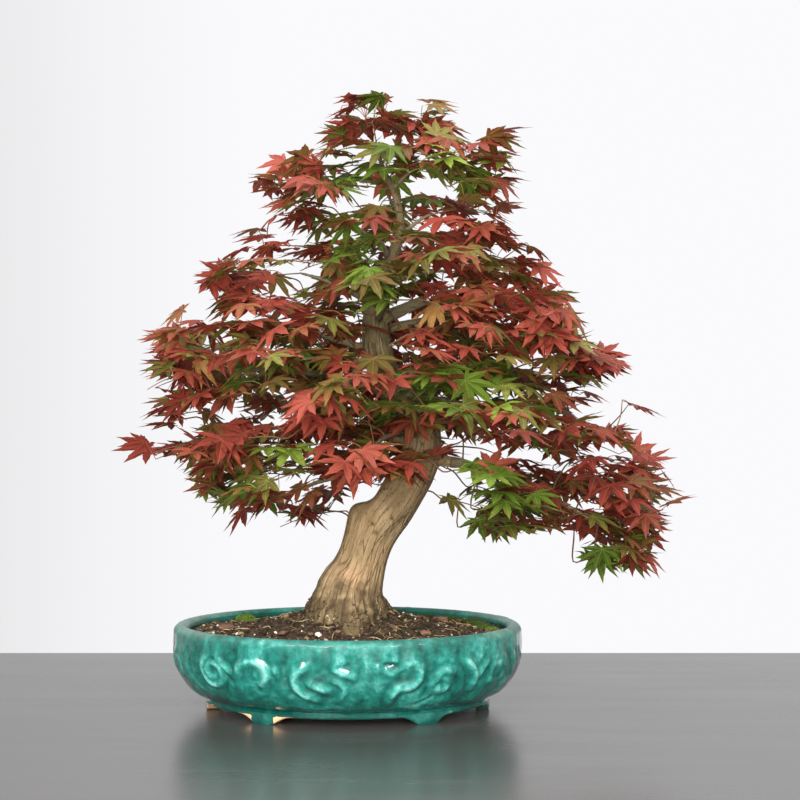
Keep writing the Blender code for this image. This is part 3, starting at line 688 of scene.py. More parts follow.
# %% Grab and furrow
GRABS = [  # middle from the pot's centre, reach, move, all in mm
    ((8, -4, 168), 12, (-1.5, 0, 3.0)),
    ((14, -4, 187), 12, (11.0, 1.0, -7.0)),
    ((22, -6, 200), 11, (5.0, 1.0, -2.0)),
    ((6, -54, 76), 13, (0, -6.0, -3.5)),
    ((18, -40, 90), 9, (1.0, -4.0, 0)),
    ((-4, -42, 88), 8, (-1.0, -3.5, 0)),
    ((-34, -4, 84), 12, (-3.0, 0, 2.0)),
    ((-22, -30, 80), 12, (-2.5, -4.0, 1.0)),
    ((22, -34, 80), 13, (2.0, -4.0, 1.0)),
    ((38, -2, 80), 9, (2.5, 0, 0)),
    ((4, -40, 92), 12, (0, -3.0, 0)),
    ((44, -22, 176), 9, (0, 2.0, 0)),
    ((10, -26, 140), 10, (0, -1.5, 0)),
]
BURL, BURL_RADIUS, BURL_EYE = np.array((7.0, -54.0, 73.0)), 11.5, np.array((-0.3, -0.9, 0.3))
moved = local.copy()
for middle, reach_mm, move in GRABS:
    offset = (local - np.array(middle)) * (1, 0.7, 1)
    pull = np.exp(-((np.linalg.norm(offset, axis=1) / reach_mm) ** 2))
    moved += pull[:, None] * np.array(move)
write_points(wood.data, moved * MM + np.array(POT))

thick = np.where(on_trunk, np.clip(GIRTH[nearest] / 22, 0.12, 1.3), 0.12)
lump = np.array([noise.noise(Vector(g) / 9) for g in grain])
furrow = np.array([abs(noise.noise(Vector(g * (1, 1, 0.6)) / 2.6 + Vector((7, 3, 1)))) for g in grain])
knobs = np.array([noise.noise(Vector(p) / 5 + Vector((2, 9, 4))) for p in moved])
low = np.clip((112 - moved[:, 2]) / 36, 0, 1)
height = thick * (1.2 * lump + (0.45 + 0.5 * low) * (0.3 - furrow) + 2.4 * low * knobs)
write_points(wood.data, read_points(wood.data) + read_normals(wood.data) * height[:, None] * MM)
local = (read_points(wood.data) - np.array(POT)) / MM
from_burl = local - BURL
burl_gap = np.linalg.norm(from_burl, axis=1)
towards = from_burl / burl_gap[:, None]
ring = np.cos(np.arccos(np.clip(towards @ BURL_EYE, -1, 1)) * 13)
round_knob = BURL + towards * (BURL_RADIUS + 0.6 * ring + 3.2 * knobs)[:, None]
share = np.clip((BURL_RADIUS + 5 - burl_gap) / 6, 0, 1)[:, None]
write_points(wood.data, (local + (round_knob - local) * share) * MM + np.array(POT))
paint(wood.data, "furrow", furrow)
paint(wood.data, "trunk", on_trunk.astype(float))
layer = wood.data.attributes.new("grain", "FLOAT_VECTOR", "POINT")
layer.data.foreach_set("vector", np.ascontiguousarray(grain * MM, dtype=np.float32).ravel())
only(wood)
bpy.ops.object.shade_smooth()
print(len(wood.data.polygons), "faces of wood")

# %% [markdown]
# Maple bark is thin and smooth for years and then cracks in fine upright lines. The colour is tan at the
# front and olive on the right side, which is algae and also painted shade on the side away from the lamps.
# It is dark and rough near the soil and dark olive high in the crown. The furrows come from noise drawn
# out along the grain.

# %% Bark
bark = Finish("maple_bark")
where = bark.place()
_, _, z = bark.parts(where)
grain_at = bark.attribute("grain", "Vector")
crack = bark.noise(bark.stretched(grain_at, (1, 1, 0.45)), 0.0024, detail=4.0, roughness=0.68)
patch = bark.noise(where, 0.016, detail=4.0, roughness=0.6)
pore = bark.noise(grain_at, 0.0011, detail=3.0, roughness=0.7)
net = bark.cells(bark.stretched(grain_at, (1, 1, 0.8)), 0.0052, "DISTANCE_TO_EDGE")
split = (1 - net.step(0.0, 0.07)) * (patch - 0.42).step(0.0, 0.12)
dots = (pore - 0.56).step(0.0, 0.07) * (crack - 0.4).step(0.0, 0.2)
pale = (1.1 * (crack - 0.5) + 1.0 * (patch - 0.5) + 0.6 - 0.42 * split - 0.34 * dots).clamped()
stops = [
    (0.0, 62, 47, 30), (0.3, 112, 91, 62), (0.55, 146, 122, 88), (0.8, 164, 140, 106),
    (1.0, 186, 166, 134),
]
tan = bark.ramp(pale, stops)
stops = [(0.0, 42, 39, 24), (0.5, 84, 75, 50), (1.0, 126, 114, 84)]
olive = bark.ramp(pale, stops)
stops = [(0.0, 40, 30, 20), (0.4, 66, 52, 34), (0.7, 92, 78, 52), (1.0, 136, 116, 86)]
earthy = bark.ramp(pale, stops)
normal_x = bark.parts(bark.node("ShaderNodeNewGeometry", output="Normal"))[0]
# Algae and painted shade: the side facing +x, away from the lamps, turns a darker olive.
right_algae_and_painted_shade = ((patch - 0.5) * 2.2 + 0.9 * normal_x).step(0.3, 1.1) * z.step(0.11, 0.19)
high = (z + 0.05 * (patch - 0.5)).step(0.215, 0.265)
olive_algae_and_painted_shade = (right_algae_and_painted_shade * 0.75 + high * 0.8 + (patch - 0.62).step(0.0, 0.1) * 0.45).clamped()
tint = bark.mix(olive_algae_and_painted_shade, tan, olive)
flush = (bark.noise(where, 0.03, detail=2.0) - 0.5).step(0.0, 0.12) * (1 - z.step(0.13, 0.15)) * 0.22
tint = bark.mix(flush, tint, colour(170, 120, 88))
soil_near = 1 - (z + 0.07 * (patch - 0.5) + 0.05 * (crack - 0.5)).step(0.084, 0.128)
tint = bark.mix(soil_near * 0.95, tint, earthy)
twiggy = bark.mix(patch, colour(74, 66, 44), colour(128, 118, 92))
tint = bark.mix(1 - bark.attribute("trunk"), tint, twiggy)
bark.set(Base_Color=tint, Roughness=0.78 + 0.15 * patch)
ribs = bark.bumps(crack - 0.5 * split + 0.4 * soil_near * patch, 0.0014, 0.8)
bark.set(Normal=bark.bumps(pore, 0.0005, 0.5, under=ribs))
wood.data.materials.append(bark.material)
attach(wood, "root")
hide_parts("tree")

# %% [markdown]
# ## Soil
#
# The soil is a coarse dark mix, level at the wall and mounded round the trunk. A grid could be draped
# over it. Here it is pulled like the pot, ring by ring: up the inside of the wall and then inwards over
# the top, so its rings follow the oval. Lumps are pushed into it, and the loose crumbs, fibres and
# flakes of bark that lie on it are separate small pieces.

# %% The soil's top
SOIL_EDGE_Z, MOUND, SOIL_DROP = 66, 23, 39.6
SOIL_AROUND = 300


def soil_height(x, y):
    """The height of the soil at a place from the pot's centre, in mm."""
    share = np.hypot(x / HALF_LENGTH, y / HALF_DEPTH)
    lumps = 0.5 * (np.sin(x / 7) * np.cos(y / 6) + np.sin((x + 2 * y) / 13))
    return SOIL_EDGE_Z + MOUND * np.exp(-((share / 0.45) ** 2)) + lumps * np.clip(3 * (1 - share), 0, 1)


soil_rows = [(60, 18.4), (44, 18.4)]
for row in range(1, 7):
    turn = BOWL_END * (1 - row / 6)
    row_z = BELLY_Z - SOIL_DROP * math.sin(turn) / math.sin(BOWL_END)
    soil_rows.append((11 + BOWL_TUCK * (1 - math.cos(turn)), row_z))
soil_rows += [(12.6, 62.5), (14.8, 66)]
soil_rows += [(14.8 + 2.1 * step, 66) for step in range(1, 48)]

soil = pull_up("potting_soil", soil_rows, SOIL_AROUND)
local = (read_points(soil.data) - np.array(POT)) / MM
top = local[:, 2] > 65
rough = np.array([1.5 * noise.noise(Vector(p) / 8) + 1.1 * noise.noise(Vector(p) / 3.2) for p in local])
from_middle = np.hypot(local[:, 0] / (HALF_LENGTH - 14), local[:, 1] / (HALF_DEPTH - 14))
edge_fade = np.clip((1 - from_middle) * 12, 0, 1)
local[top, 2] = (soil_height(local[:, 0], local[:, 1]) + rough * edge_fade)[top]
write_points(soil.data, local * MM + np.array(POT))
bpy.ops.object.shade_smooth_by_angle(angle=math.radians(60))
print(len(soil.data.polygons), "faces of soil")

# %% Soil colours
earth = Finish("potting_mix")
where = earth.place()
grains = earth.cells(where, 0.0026)
sockets = {"Vector": where, "Scale": 1 / 0.0026}
grain_tint = earth.node("ShaderNodeTexVoronoi", {"feature": "F1"}, sockets, 1)
pick = earth.node("ShaderNodeSeparateColor", sockets={0: grain_tint})
stops = [
    (0.0, 30, 22, 15), (0.35, 50, 39, 26), (0.6, 70, 55, 37), (0.8, 78, 58, 42), (0.93, 96, 82, 56),
    (1.0, 136, 120, 90),
]
clods = earth.noise(where, 0.014, detail=4.0)
choice = (pick * 0.8 + 0.7 * (clods - 0.4)).clamped()
earth.set(Base_Color=earth.ramp(choice, stops), Roughness=0.95)
dust = earth.noise(where, 0.0011, detail=3.0)
earth.set(Normal=earth.bumps((1 - grains) + 0.4 * dust, 0.0016, 0.9))
soil.data.materials.append(earth.material)
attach(soil, "root")
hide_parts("soil")

# %% [markdown]
# A crumb of soil is a squashed ball of twenty faces, a flake of bark is a worn block, and a fibre is a
# thin bent tube. Each is modelled once, and the copies are turned, scaled and laid on the soil. The last
# crumbs lie on the ledges of the roots, where soil gathers. A number painted on each copy tells its
# material which brown to use.


# %% Laying copies
def shape_of(made):
    """The points and faces of a modelled shape, which is then put away."""
    points, faces = read_points(made.data), [list(p.vertices) for p in made.data.polygons]
    bpy.data.objects.remove(made)
    return points, faces


class Heap:
    """Many copies of small shapes in one mesh, with numbers painted on their points."""

    def __init__(self, *painted):
        self.points, self.faces, self.count = [], [], 0
        self.painted = {name: [] for name in painted}

    def add(self, points, faces, **painted):
        self.points.append(points)
        self.faces += [[i + self.count for i in face] for face in faces]
        self.count += len(points)
        for name, values in self.painted.items():
            values.append(np.broadcast_to(painted[name], len(points)))

    def build(self, name, slot, finish, *replaced, smooth_faces=True):
        mesh = bpy.data.meshes.new(name)
        made = bpy.data.objects.new(name, mesh)
        bpy.context.scene.collection.objects.link(made)
        mesh.from_pydata(np.concatenate(self.points) * MM + np.array(POT), [], self.faces)
        for key, values in self.painted.items():
            paint(mesh, key, np.concatenate(values))
        mesh.materials.append(finish.material)
        only(made)
        if smooth_faces:
            bpy.ops.object.shade_smooth_by_angle(angle=math.radians(70))
        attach(made, "root")
        if replaced:
            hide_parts(*replaced)
        return made


def turned(points, euler, at):
    return points @ np.array(Euler(euler).to_matrix()).T + np.array(at)


def on_soil(random_place, margin=17):
    """A random place on the soil, clear of the wall and the trunk."""
    while True:
        x = random_place.uniform(-1, 1) * (HALF_LENGTH - margin)
        y = random_place.uniform(-1, 1) * (HALF_DEPTH - margin)
        inside = math.hypot(x / (HALF_LENGTH - margin), y / (HALF_DEPTH - margin)) < 1
        if inside and math.hypot(x + 1, y + 6) > 37:
            return x, y


# %% Crumbs, fibres and flakes
bpy.ops.object.select_all(action="DESELECT")
bpy.ops.mesh.primitive_ico_sphere_add(subdivisions=1, radius=1, location=(0, 0, 0))
crumb = bpy.context.object
bpy.ops.object.mode_set(mode="EDIT")
bpy.ops.transform.resize(value=(1.25, 0.9, 0.72))
only(crumb)
crumb_points, crumb_faces = shape_of(crumb)

bpy.ops.mesh.primitive_cube_add(size=1, location=(0, 0, 0))
flake = bpy.context.object
bpy.ops.object.mode_set(mode="EDIT")
bpy.ops.mesh.bevel(offset=0.22, segments=1)
bpy.ops.mesh.subdivide(number_cuts=1, smoothness=0.2)
only(flake)
flake_points, flake_faces = shape_of(flake)

bits = random.Random(5)
crumbs = Heap("shade")
bark_places = (read_points(wood.data) - np.array(POT)) / MM
ledges = (bark_places[:, 2] < 96) & (read_normals(wood.data)[:, 2] > 0.12)
ledges &= bark_places[:, 2] > soil_height(bark_places[:, 0], bark_places[:, 1]) - 1
root_ledges = bark_places[ledges]
CRUMBS, CRUMBS_ON_SOIL, FLAKES, FIBRES, GRITS = 3300, 2400, 30, 190, 34
for i in range(CRUMBS):
    x, y = on_soil(bits)
    size = 0.6 + 1.7 * bits.random() ** 4
    z = float(soil_height(x, y)) + 0.35 * size
    if i >= CRUMBS_ON_SOIL:
        x, y, z = root_ledges[int(bits.random() * len(root_ledges))]
        size = 0.5 + 0.9 * bits.random() ** 2
        if bits.random() < (z - 74) / 22:
            continue
    copy = crumb_points * (size, size * bits.uniform(0.7, 1.1), size)
    turn = (bits.uniform(-0.6, 0.6), bits.uniform(-0.6, 0.6), bits.uniform(0, 6.3))
    crumbs.add(turned(copy, turn, (x, y, z)), crumb_faces, shade=bits.random())


def flake_copy(place, size, turn, tilt, lift, seed):
    x, y = place
    rough = np.array([noise.noise(Vector(p) * 2.4 + Vector((seed * 3.7, 0, 0))) for p in flake_points])
    copy = flake_points * (1 + 0.32 * rough[:, None])
    copy[:, 2] += 0.14 * flake_points[:, 0] ** 2
    z = float(soil_height(x, y)) + size[2] / 2 + lift
    return turned(copy * size, (math.radians(tilt), 0, math.radians(turn)), (x, y, z))


flakes = Heap("shade")
for i in range(FLAKES):
    x, y = on_soil(bits, 19)
    size = (bits.uniform(4, 7), bits.uniform(2.5, 4.5), bits.uniform(1.2, 2.2))
    copy = flake_copy((x, y), size, bits.uniform(0, 360), bits.uniform(-22, 22), 0.2, i)
    flakes.add(copy, flake_faces, shade=bits.random())


# %% Thin round things: fibres, twigs and leaf stalks
def tube(path, radii, sides):
    """The points and faces of a closed tube along a path."""
    path = np.asarray(path, float)
    ahead = np.gradient(path, axis=0)
    ahead /= np.linalg.norm(ahead, axis=1)[:, None] + 1e-9
    side = np.cross(ahead, (0.2, 0.1, 1.0))
    side /= np.linalg.norm(side, axis=1)[:, None] + 1e-9
    other = np.cross(ahead, side)
    turn = np.arange(sides) * math.tau / sides
    ring = side[:, None] * np.cos(turn)[None, :, None] + other[:, None] * np.sin(turn)[None, :, None]
    points = (path[:, None] + ring * np.broadcast_to(radii, len(path))[:, None, None]).reshape(-1, 3)
    faces = [list(range(sides))[::-1], list(range(len(points) - sides, len(points)))]
    for row in range(len(path) - 1):
        for i in range(sides):
            a, b = row * sides + i, row * sides + (i + 1) % sides
            faces.append([a, b, b + sides, a + sides])
    return points, faces


for _ in range(FIBRES):
    x, y = on_soil(bits)
    long, turn, bend = bits.uniform(5, 17), bits.uniform(0, 6.3), bits.uniform(-0.9, 0.9)
    path = []
    for i in range(6):
        t = i / 5
        heading = turn + bend * t
        px, py = x + long * (t - 0.5) * math.cos(heading), y + long * (t - 0.5) * math.sin(heading)
        arch = 1.1 + 1.6 * math.sin(math.pi * t) * bits.random()
        path.append((px, py, float(soil_height(px, py)) + arch))
    inside = math.hypot(px / (HALF_LENGTH - 16), py / (HALF_DEPTH - 16)) < 1
    if inside:
        crumbs.add(*tube(path, np.array((0.15, 0.3, 0.35, 0.3, 0.25, 0.1)), 4), shade=2 + bits.random())

loose = Finish("soil_crumbs")
where = loose.place()
shade = loose.attribute("shade")
stops = [
    (0.0, 28, 22, 15), (0.45, 56, 44, 30), (0.7, 80, 59, 43), (0.88, 98, 82, 58), (0.97, 134, 116, 88),
    (1.0, 176, 162, 136),
]
spots = loose.noise(where, 0.002)
dark = loose.ramp(shade + 0.25 * (spots - 0.5), stops)
stops = [(0.0, 84, 66, 42), (0.6, 140, 116, 80), (1.0, 188, 166, 124)]
straw = loose.ramp(shade - 2.0 + 0.3 * (spots - 0.5), stops)
loose.set(Base_Color=loose.mix(shade.step(1.4, 1.6), dark, straw), Roughness=0.92)
loose.set(Normal=loose.bumps(loose.noise(where, 0.0008), 0.0004, 0.7))
crumbs.build("soil_crumbs", "soil", loose)

chip_bark = Finish("bark_chips")
where = chip_bark.place()
shade = chip_bark.attribute("shade")
strips = chip_bark.noise(chip_bark.stretched(where, (1, 4, 4)), 0.004, detail=4.0, roughness=0.65)
stops = [(0.0, 58, 40, 30), (0.5, 104, 74, 58), (1.0, 156, 122, 98)]
chip_tone = (0.55 * strips + 0.6 * shade - 0.05).clamped()
chip_bark.set(Base_Color=chip_bark.ramp(chip_tone, stops))
chip_bark.set(Roughness=0.85, Normal=chip_bark.bumps(strips, 0.0009, 0.8))
flakes.build("small_bark_chips", "bark_chip", chip_bark)
BIG_CHIPS = {
    "bark_chip_left": ((-104, -14), (13, 9, 3.4), 35, 12, 1.0, 0.55),
    "bark_chip_back": ((80, 34), (13, 8, 3.6), 160, -10, 1.0, 0.8),
    "bark_chip_right": ((66, -52), (9, 6, 3.0), 20, 8, 0.8, 0.7),
    "bark_chip_front": ((-52, -58), (11, 6, 3.0), 75, -8, 0.8, 0.6),
}
for i, (name, (place, size, turn, tilt, lift, shade)) in enumerate(BIG_CHIPS.items()):
    heap = Heap("shade")
    heap.add(flake_copy(place, size, turn, tilt, lift, i + 50), flake_faces, shade=shade)
    heap.build(name.replace("bark_chip", "chip"), "bark_chip", chip_bark, name)
print("crumbs, fibres and", FLAKES + len(BIG_CHIPS), "flakes of bark")

# %% White pebble
bpy.ops.object.select_all(action="DESELECT")
bpy.ops.mesh.primitive_ico_sphere_add(subdivisions=3, radius=1, location=(0, 0, 0))
pebble = bpy.context.object
bpy.ops.object.mode_set(mode="EDIT")
bpy.ops.transform.resize(value=(1.0, 0.85, 0.8))
only(pebble)
pebble_points, pebble_faces = shape_of(pebble)
knobby = np.array([noise.noise(Vector(p) * 1.3) for p in pebble_points])
stone = Heap("shade")
stone.add(
    turned(pebble_points * (1 + 0.3 * knobby[:, None]) * 3.1, (0.2, 0.4, 0.3), (-22, -66, 71.5)),
    pebble_faces,
    shade=0.5,
)
for _ in range(GRITS):
    x, y = on_soil(bits)
    grit = crumb_points * bits.uniform(0.7, 1.5)
    z = float(soil_height(x, y)) + 0.9
    lean = (bits.random(), bits.random(), bits.uniform(0, 6))
    stone.add(turned(grit, lean, (x, y, z)), crumb_faces, shade=bits.random())
grit_finish = Finish("pale_grit")
speck = grit_finish.noise(grit_finish.place(), 0.0016, detail=4.0)
pale = (0.5 * speck + 0.5 * grit_finish.attribute("shade")).clamped()
grit_finish.set(Base_Color=grit_finish.mix(pale, colour(176, 164, 140), colour(242, 238, 228)))
grit_finish.set(Roughness=0.6, Normal=grit_finish.bumps(speck, 0.0004, 0.6))
stone.build("white_pebble_and_grit", "pale_grit", grit_finish, "white_pebble")

# %% [markdown]
# Moss grows where the soil stays damp: a bright tuft on the left and a dark strip along the wall at the
# back and right. A moss cushion is a low dome covered with tiny pointed shoots. One shoot is modelled
# with five faces and copied.

# %% Moss
bpy.ops.object.select_all(action="DESELECT")
bpy.ops.mesh.primitive_cone_add(vertices=4, radius1=0.32, radius2=0.0, depth=1.0, location=(0, 0, 0.5))
shoot = bpy.context.object
bpy.ops.object.mode_set(mode="EDIT")
bpy.ops.transform.resize(value=(1.0, 0.6, 1.0))
only(shoot)
shoot_points, shoot_faces = shape_of(shoot)
shoot_points[:, 0] += 0.25 * np.clip(shoot_points[:, 2], 0, 1) ** 2
dome_points, dome_faces = pebble_points / (1.0, 0.85, 0.8), pebble_faces

moss = Finish("green_moss")
where = moss.place()
shade = moss.attribute("shade")
tufts = moss.noise(where, 0.004, detail=3.0)
stops = [(0.0, 28, 40, 10), (0.35, 62, 84, 20), (0.7, 104, 132, 38), (1.0, 150, 168, 70)]
green = (shade + 0.5 * (tufts - 0.5)).clamped()
moss.set(Base_Color=moss.ramp(green, stops), Roughness=0.9)
moss.set(Normal=moss.bumps(moss.noise(where, 0.0012), 0.0006, 0.8))


def moss_cushion(heap, middle, half_size, height, shoots, light):
    grow = random.Random(int(middle[0] * 7 + middle[1]))
    rough = np.array([noise.noise(Vector(p) * 2 + Vector((middle[0], 0, 0))) for p in dome_points])
    dome = dome_points * (1 + 0.22 * rough[:, None]) * (*half_size, height)
    dome[:, 2] = np.clip(dome[:, 2], -0.8, None)
    dome[:, :2] += middle
    dome[:, 2] += soil_height(dome[:, 0], dome[:, 1])
    heap.add(dome, dome_faces, shade=light * 0.5)
    for _ in range(shoots):
        turn, reach = grow.uniform(0, math.tau), math.sqrt(grow.random())
        x = middle[0] + half_size[0] * reach * math.cos(turn)
        y = middle[1] + half_size[1] * reach * math.sin(turn)
        z = float(soil_height(x, y)) + height * math.sqrt(max(0, 1 - reach**2)) * 0.95 - 0.3
        lean = (grow.uniform(-0.6, 0.6), grow.uniform(-0.6, 0.6), grow.uniform(0, 6.3))
        copy = shoot_points * (1.0, 1.0, grow.uniform(1.4, 2.8))
        shade = np.clip(light + 0.25 * copy[:, 2] / 2 + grow.uniform(-0.15, 0.15), 0, 1)
        heap.add(turned(copy, lean, (x, y, z)), shoot_faces, shade=shade)


patches = {
    "moss_left": [((-84, 32), (8, 6), 2.6, 160, 0.6), ((-94, 57), (9, 6), 6.0, 300, 0.7)],
    "moss_back": [
        ((70, 68), (16, 8), 4.0, 300, 0.3),
        ((46, 84), (12, 6), 3.0, 160, 0.25),
        ((92, 58), (12, 8), 4.2, 240, 0.4),
        ((110, 44), (10, 8), 4.0, 220, 0.35),
    ],
    "moss_right": [((116, 20), (9, 14), 4.0, 280, 0.5), ((124, -4), (6, 10), 3.4, 200, 0.85)],
}
for name, cushions in patches.items():
    heap = Heap("shade")
    for cushion in cushions:
        moss_cushion(heap, *cushion)
    heap.build(name.replace("moss", "moss_cushion"), "moss", moss, name)
print("moss", {name: len(cushions) for name, cushions in patches.items()})

# %% [markdown]
# The plastic screens over the drain holes and the bent wires that hold them are already the right shape
# in the measured model. They only get better finishes: dull black plastic with mould specks, and soft
# aluminium wire that has gone grey.

# %% Screens and wires
screen_plastic = Finish("screen_plastic")
grime = screen_plastic.noise(screen_plastic.place(), 0.003, detail=4.0)
screen_plastic.set(Base_Color=screen_plastic.mix(grime, colour(26, 27, 26), colour(58, 52, 44)))
screen_plastic.set(Roughness=0.5 + 0.3 * grime, Normal=screen_plastic.bumps(grime, 0.0003, 0.4))
fixing_wire = Finish("fixing_wire")
tarnish = fixing_wire.noise(fixing_wire.place(), 0.002, detail=4.0)
fixing_wire.set(Base_Color=fixing_wire.mix(tarnish, colour(150, 148, 144), colour(196, 195, 192)))
fixing_wire.set(Metallic=0.95, Roughness=0.35 + 0.3 * tarnish)
fixing_wire.set(Normal=fixing_wire.bumps(tarnish, 0.0002, 0.3))
for name, finish in [("drainage_mesh", screen_plastic), ("mesh_wire", fixing_wire)]:
    for side in ("left", "right"):
        for place in NODES[f"{name}_{side}"].material_slots:
            place.material = finish.material

# %% [markdown]
# ## A maple leaf
#
# A Japanese maple's leaf is a small hand with seven pointed fingers: one long in the middle, two pairs
# that grow shorter, and two tiny ones by the stalk. A flat fan of fourteen triangles is the palm. Its
# corners are moved to the fingers' roots and the notches between them, and then each finger is pulled
# out of two of the fan's edges in a few steps. The steps go wide and narrow by turns, which gives the
# finger a toothed edge, and the last one is a point. The leaf is one unit long.

# %% The palm
FINGERS = [(0, 1.0), (40, 0.94), (79, 0.74), (122, 0.38), (-122, 0.38), (-79, 0.74), (-40, 0.94)]
NOTCHES = [(20, 0.37), (59, 0.34), (100, 0.25), (180, 0.04), (-100, 0.25), (-59, 0.34), (-20, 0.37)]


def from_stalk(degrees, reach):
    turn = math.radians(degrees)
    return Vector((-math.sin(turn) * reach, math.cos(turn) * reach, 0))


bpy.ops.object.select_all(action="DESELECT")
bpy.ops.mesh.primitive_circle_add(vertices=14, radius=1, fill_type="TRIFAN", location=(0, 0, 0))
leaf = bpy.context.object
leaf.name = "leaf_shape"
rim = [v for v in leaf.data.vertices if v.co.length > 0.5]
rim.sort(key=lambda v: math.atan2(-v.co.x, v.co.y) % math.tau)
corners = []
for (finger, long), (notch, reach) in zip(FINGERS, NOTCHES):
    corners += [(finger, 0.38 * long), (notch, reach)]
for corner, (turn, reach) in zip(rim, corners):
    corner.co = from_stalk(turn, reach)
print(len(leaf.data.polygons), "faces in the palm")

# %% The fingers
roots = [[corners[i - 1], corners[i], corners[(i + 1) % 14]] for i in range(0, 14, 2)]
bpy.ops.object.mode_set(mode="EDIT")
bpy.ops.mesh.select_mode(type="VERT")
for (finger, long), root in zip(FINGERS, roots):
    bpy.ops.mesh.select_all(action="DESELECT")
    shape = bmesh.from_edit_mesh(leaf.data)
    places = [from_stalk(*corner) for corner in root]
    for vertex in shape.verts:
        vertex.select = any((vertex.co - place).length < 1e-5 for place in places)
    shape.select_flush(True)
    bmesh.update_edit_mesh(leaf.data)
    steps = [(0.48, 1.1), (0.55, 0.86), (0.68, 0.96), (0.76, 0.58), (1.0, 0.0)]
    if long < 0.5:
        steps = [(0.7, 0.8), (1.0, 0.0)]
    at = 0.38
    for share, narrower in steps:
        bpy.ops.mesh.extrude_edges_move(
            TRANSFORM_OT_translate={"value": from_stalk(finger, (share - at) * long)}
        )
        middle = from_stalk(finger, share * long)
        bpy.ops.transform.resize(value=(narrower, narrower, 1), center_override=middle)
        at = share
bpy.ops.mesh.select_all(action="SELECT")
bpy.ops.mesh.remove_doubles(threshold=0.001)
bpy.ops.mesh.normals_make_consistent(inside=False)
only(leaf)
leaf_points, leaf_faces = shape_of(leaf)


def faces_up(face):
    first, second, third = (Vector(leaf_points[i]) for i in face[:3])
    return (second - first).cross(third - first).z


if sum(faces_up(face) for face in leaf_faces) < 0:
    leaf_faces = [face[::-1] for face in leaf_faces]
print(len(leaf_faces), "faces in a leaf")

# %% Midribs and tips
bearing = np.degrees(np.arctan2(-leaf_points[:, 0], leaf_points[:, 1]))
gaps = np.abs((bearing[:, None] - np.array([f[0] for f in FINGERS]) + 180) % 360 - 180)
nearest_finger = gaps.argmin(1)
leaf_reach = np.linalg.norm(leaf_points, axis=1)
off_rib = leaf_reach * np.sin(np.radians(gaps.min(1)))
leaf_edge = np.where(off_rib > 0.012, 1.0, 0.0)
leaf_along = leaf_reach / np.array([f[1] for f in FINGERS])[nearest_finger]
leaf_points[:, 2] = 0.32 * off_rib

# %% [markdown]
# ## Where the leaves go
#
# The tree carries its leaves in layered pads with gaps of light between them. Each twig holds opposite
# pairs of leaves and one at its end, all lying nearly level and drooping outwards. The twigs are placed
# first: one at each measured spray, and then hundreds more, each in the emptiest of a few random places
# in the pads. The outline, the pads and the gaps are tables of this one tree, as seen from the front.
# They don't come from the measured model, so for another tree they have to be made anew. The outline
# is looked at from where the camera stands, so a twig nearer to the camera must stay further in.

# %% The crown's outline from the front: height, left and right, in mm on the plane of the trunk
OUTLINE_ROWS = [
    (525, 0, 30), (519, -14, 97), (506, -22, 66), (493, -24, 108), (480, -30, 155), (468, -52, 142),
    (455, -86, 151), (442, -85, 136), (429, -78, 155), (416, -68, 145), (403, -102, 149),
    (390, -74, 161), (377, -127, 178), (364, -134, 176), (351, -109, 199), (338, -119, 197),
    (325, -165, 212), (312, -179, 214), (299, -179, 246), (287, -181, 237), (274, -151, 216),
    (261, -179, 228), (248, -182, 276), (235, -123, 250), (222, -198, 279), (209, -141, 278),
    (196, -142, 264), (183, -136, 301), (170, -109, 272), (157, -92, 281), (144, -106, 272),
    (132, 183, 275), (118, 196, 244),
]
OUTLINE = np.array(OUTLINE_ROWS[::-1], float)
LOWER_EDGE = [(-205, 205), (-146, 204), (-140, 152), (-110, 152), (-100, 163), (-60, 162), (-40, 148)]
LOWER_EDGE += [(-12, 160), (0, 182), (28, 190), (84, 182), (100, 158), (124, 134), (150, 147), (195, 150)]
LOWER_EDGE = np.array([*LOWER_EDGE, (205, 108), (272, 106), (284, 178), (305, 178)], float)
STAND, EYE_X, EYE_Z = 1420, 44.8, 265
TOP_SEEN, TOP_MADE, DEEPEST = 516, 528, 188


def seen(place):
    """Where a place appears on the upright plane through the pot's middle."""
    nearer = STAND / (STAND + place[1])
    return EYE_X + (place[0] - EYE_X) * nearer, EYE_Z + (place[2] - EYE_Z) * nearer


def behind_view(x, y, z):
    """The place at depth y that appears at x, z on that plane."""
    further = (STAND + y) / STAND
    return np.array((EYE_X + (x - EYE_X) * further, y, EYE_Z + (z - EYE_Z) * further))


def inside_outline(place, margin=0.0):
    x, z = seen(place)
    left, right = np.interp(z, OUTLINE[:, 0], OUTLINE[:, 1]), np.interp(z, OUTLINE[:, 0], OUTLINE[:, 2])
    lower = np.interp(x, LOWER_EDGE[:, 0], LOWER_EDGE[:, 1])
    low_enough = z < TOP_SEEN - margin * 0.4 and place[2] < TOP_MADE
    across = left + margin < x < right - margin and lower + margin * 0.5 < z
    return across and low_enough and abs(place[1]) < DEEPEST


# %% The pads: middle and half-size on the same plane
PADS = [
    (36, 496, 54, 18), (134, 482, 24, 14), (131, 450, 28, 17), (-28, 442, 38, 22), (30, 450, 50, 32),
    (118, 396, 52, 32), (-76, 373, 60, 24), (36, 381, 52, 30), (154, 332, 60, 28), (97, 347, 36, 18),
    (-115, 299, 69, 30), (-24, 308, 52, 39), (206, 295, 42, 20), (88, 282, 52, 34), (-145, 235, 56, 22),
    (-89, 196, 50, 36), (-24, 172, 24, 18), (58, 500, 26, 10), (84, 474, 14, 12), (132, 446, 22, 12),
    (-122, 372, 22, 13), (186, 344, 22, 12), (-172, 294, 18, 14), (-172, 243, 18, 12),
    (184, 247, 20, 11), (70, 321, 26, 16), (214, 166, 24, 16), (132, 150, 22, 12), (262, 140, 22, 14),
    (32, 230, 52, 34), (142, 202, 44, 36), (240, 216, 50, 28), (236, 152, 42, 30),
]
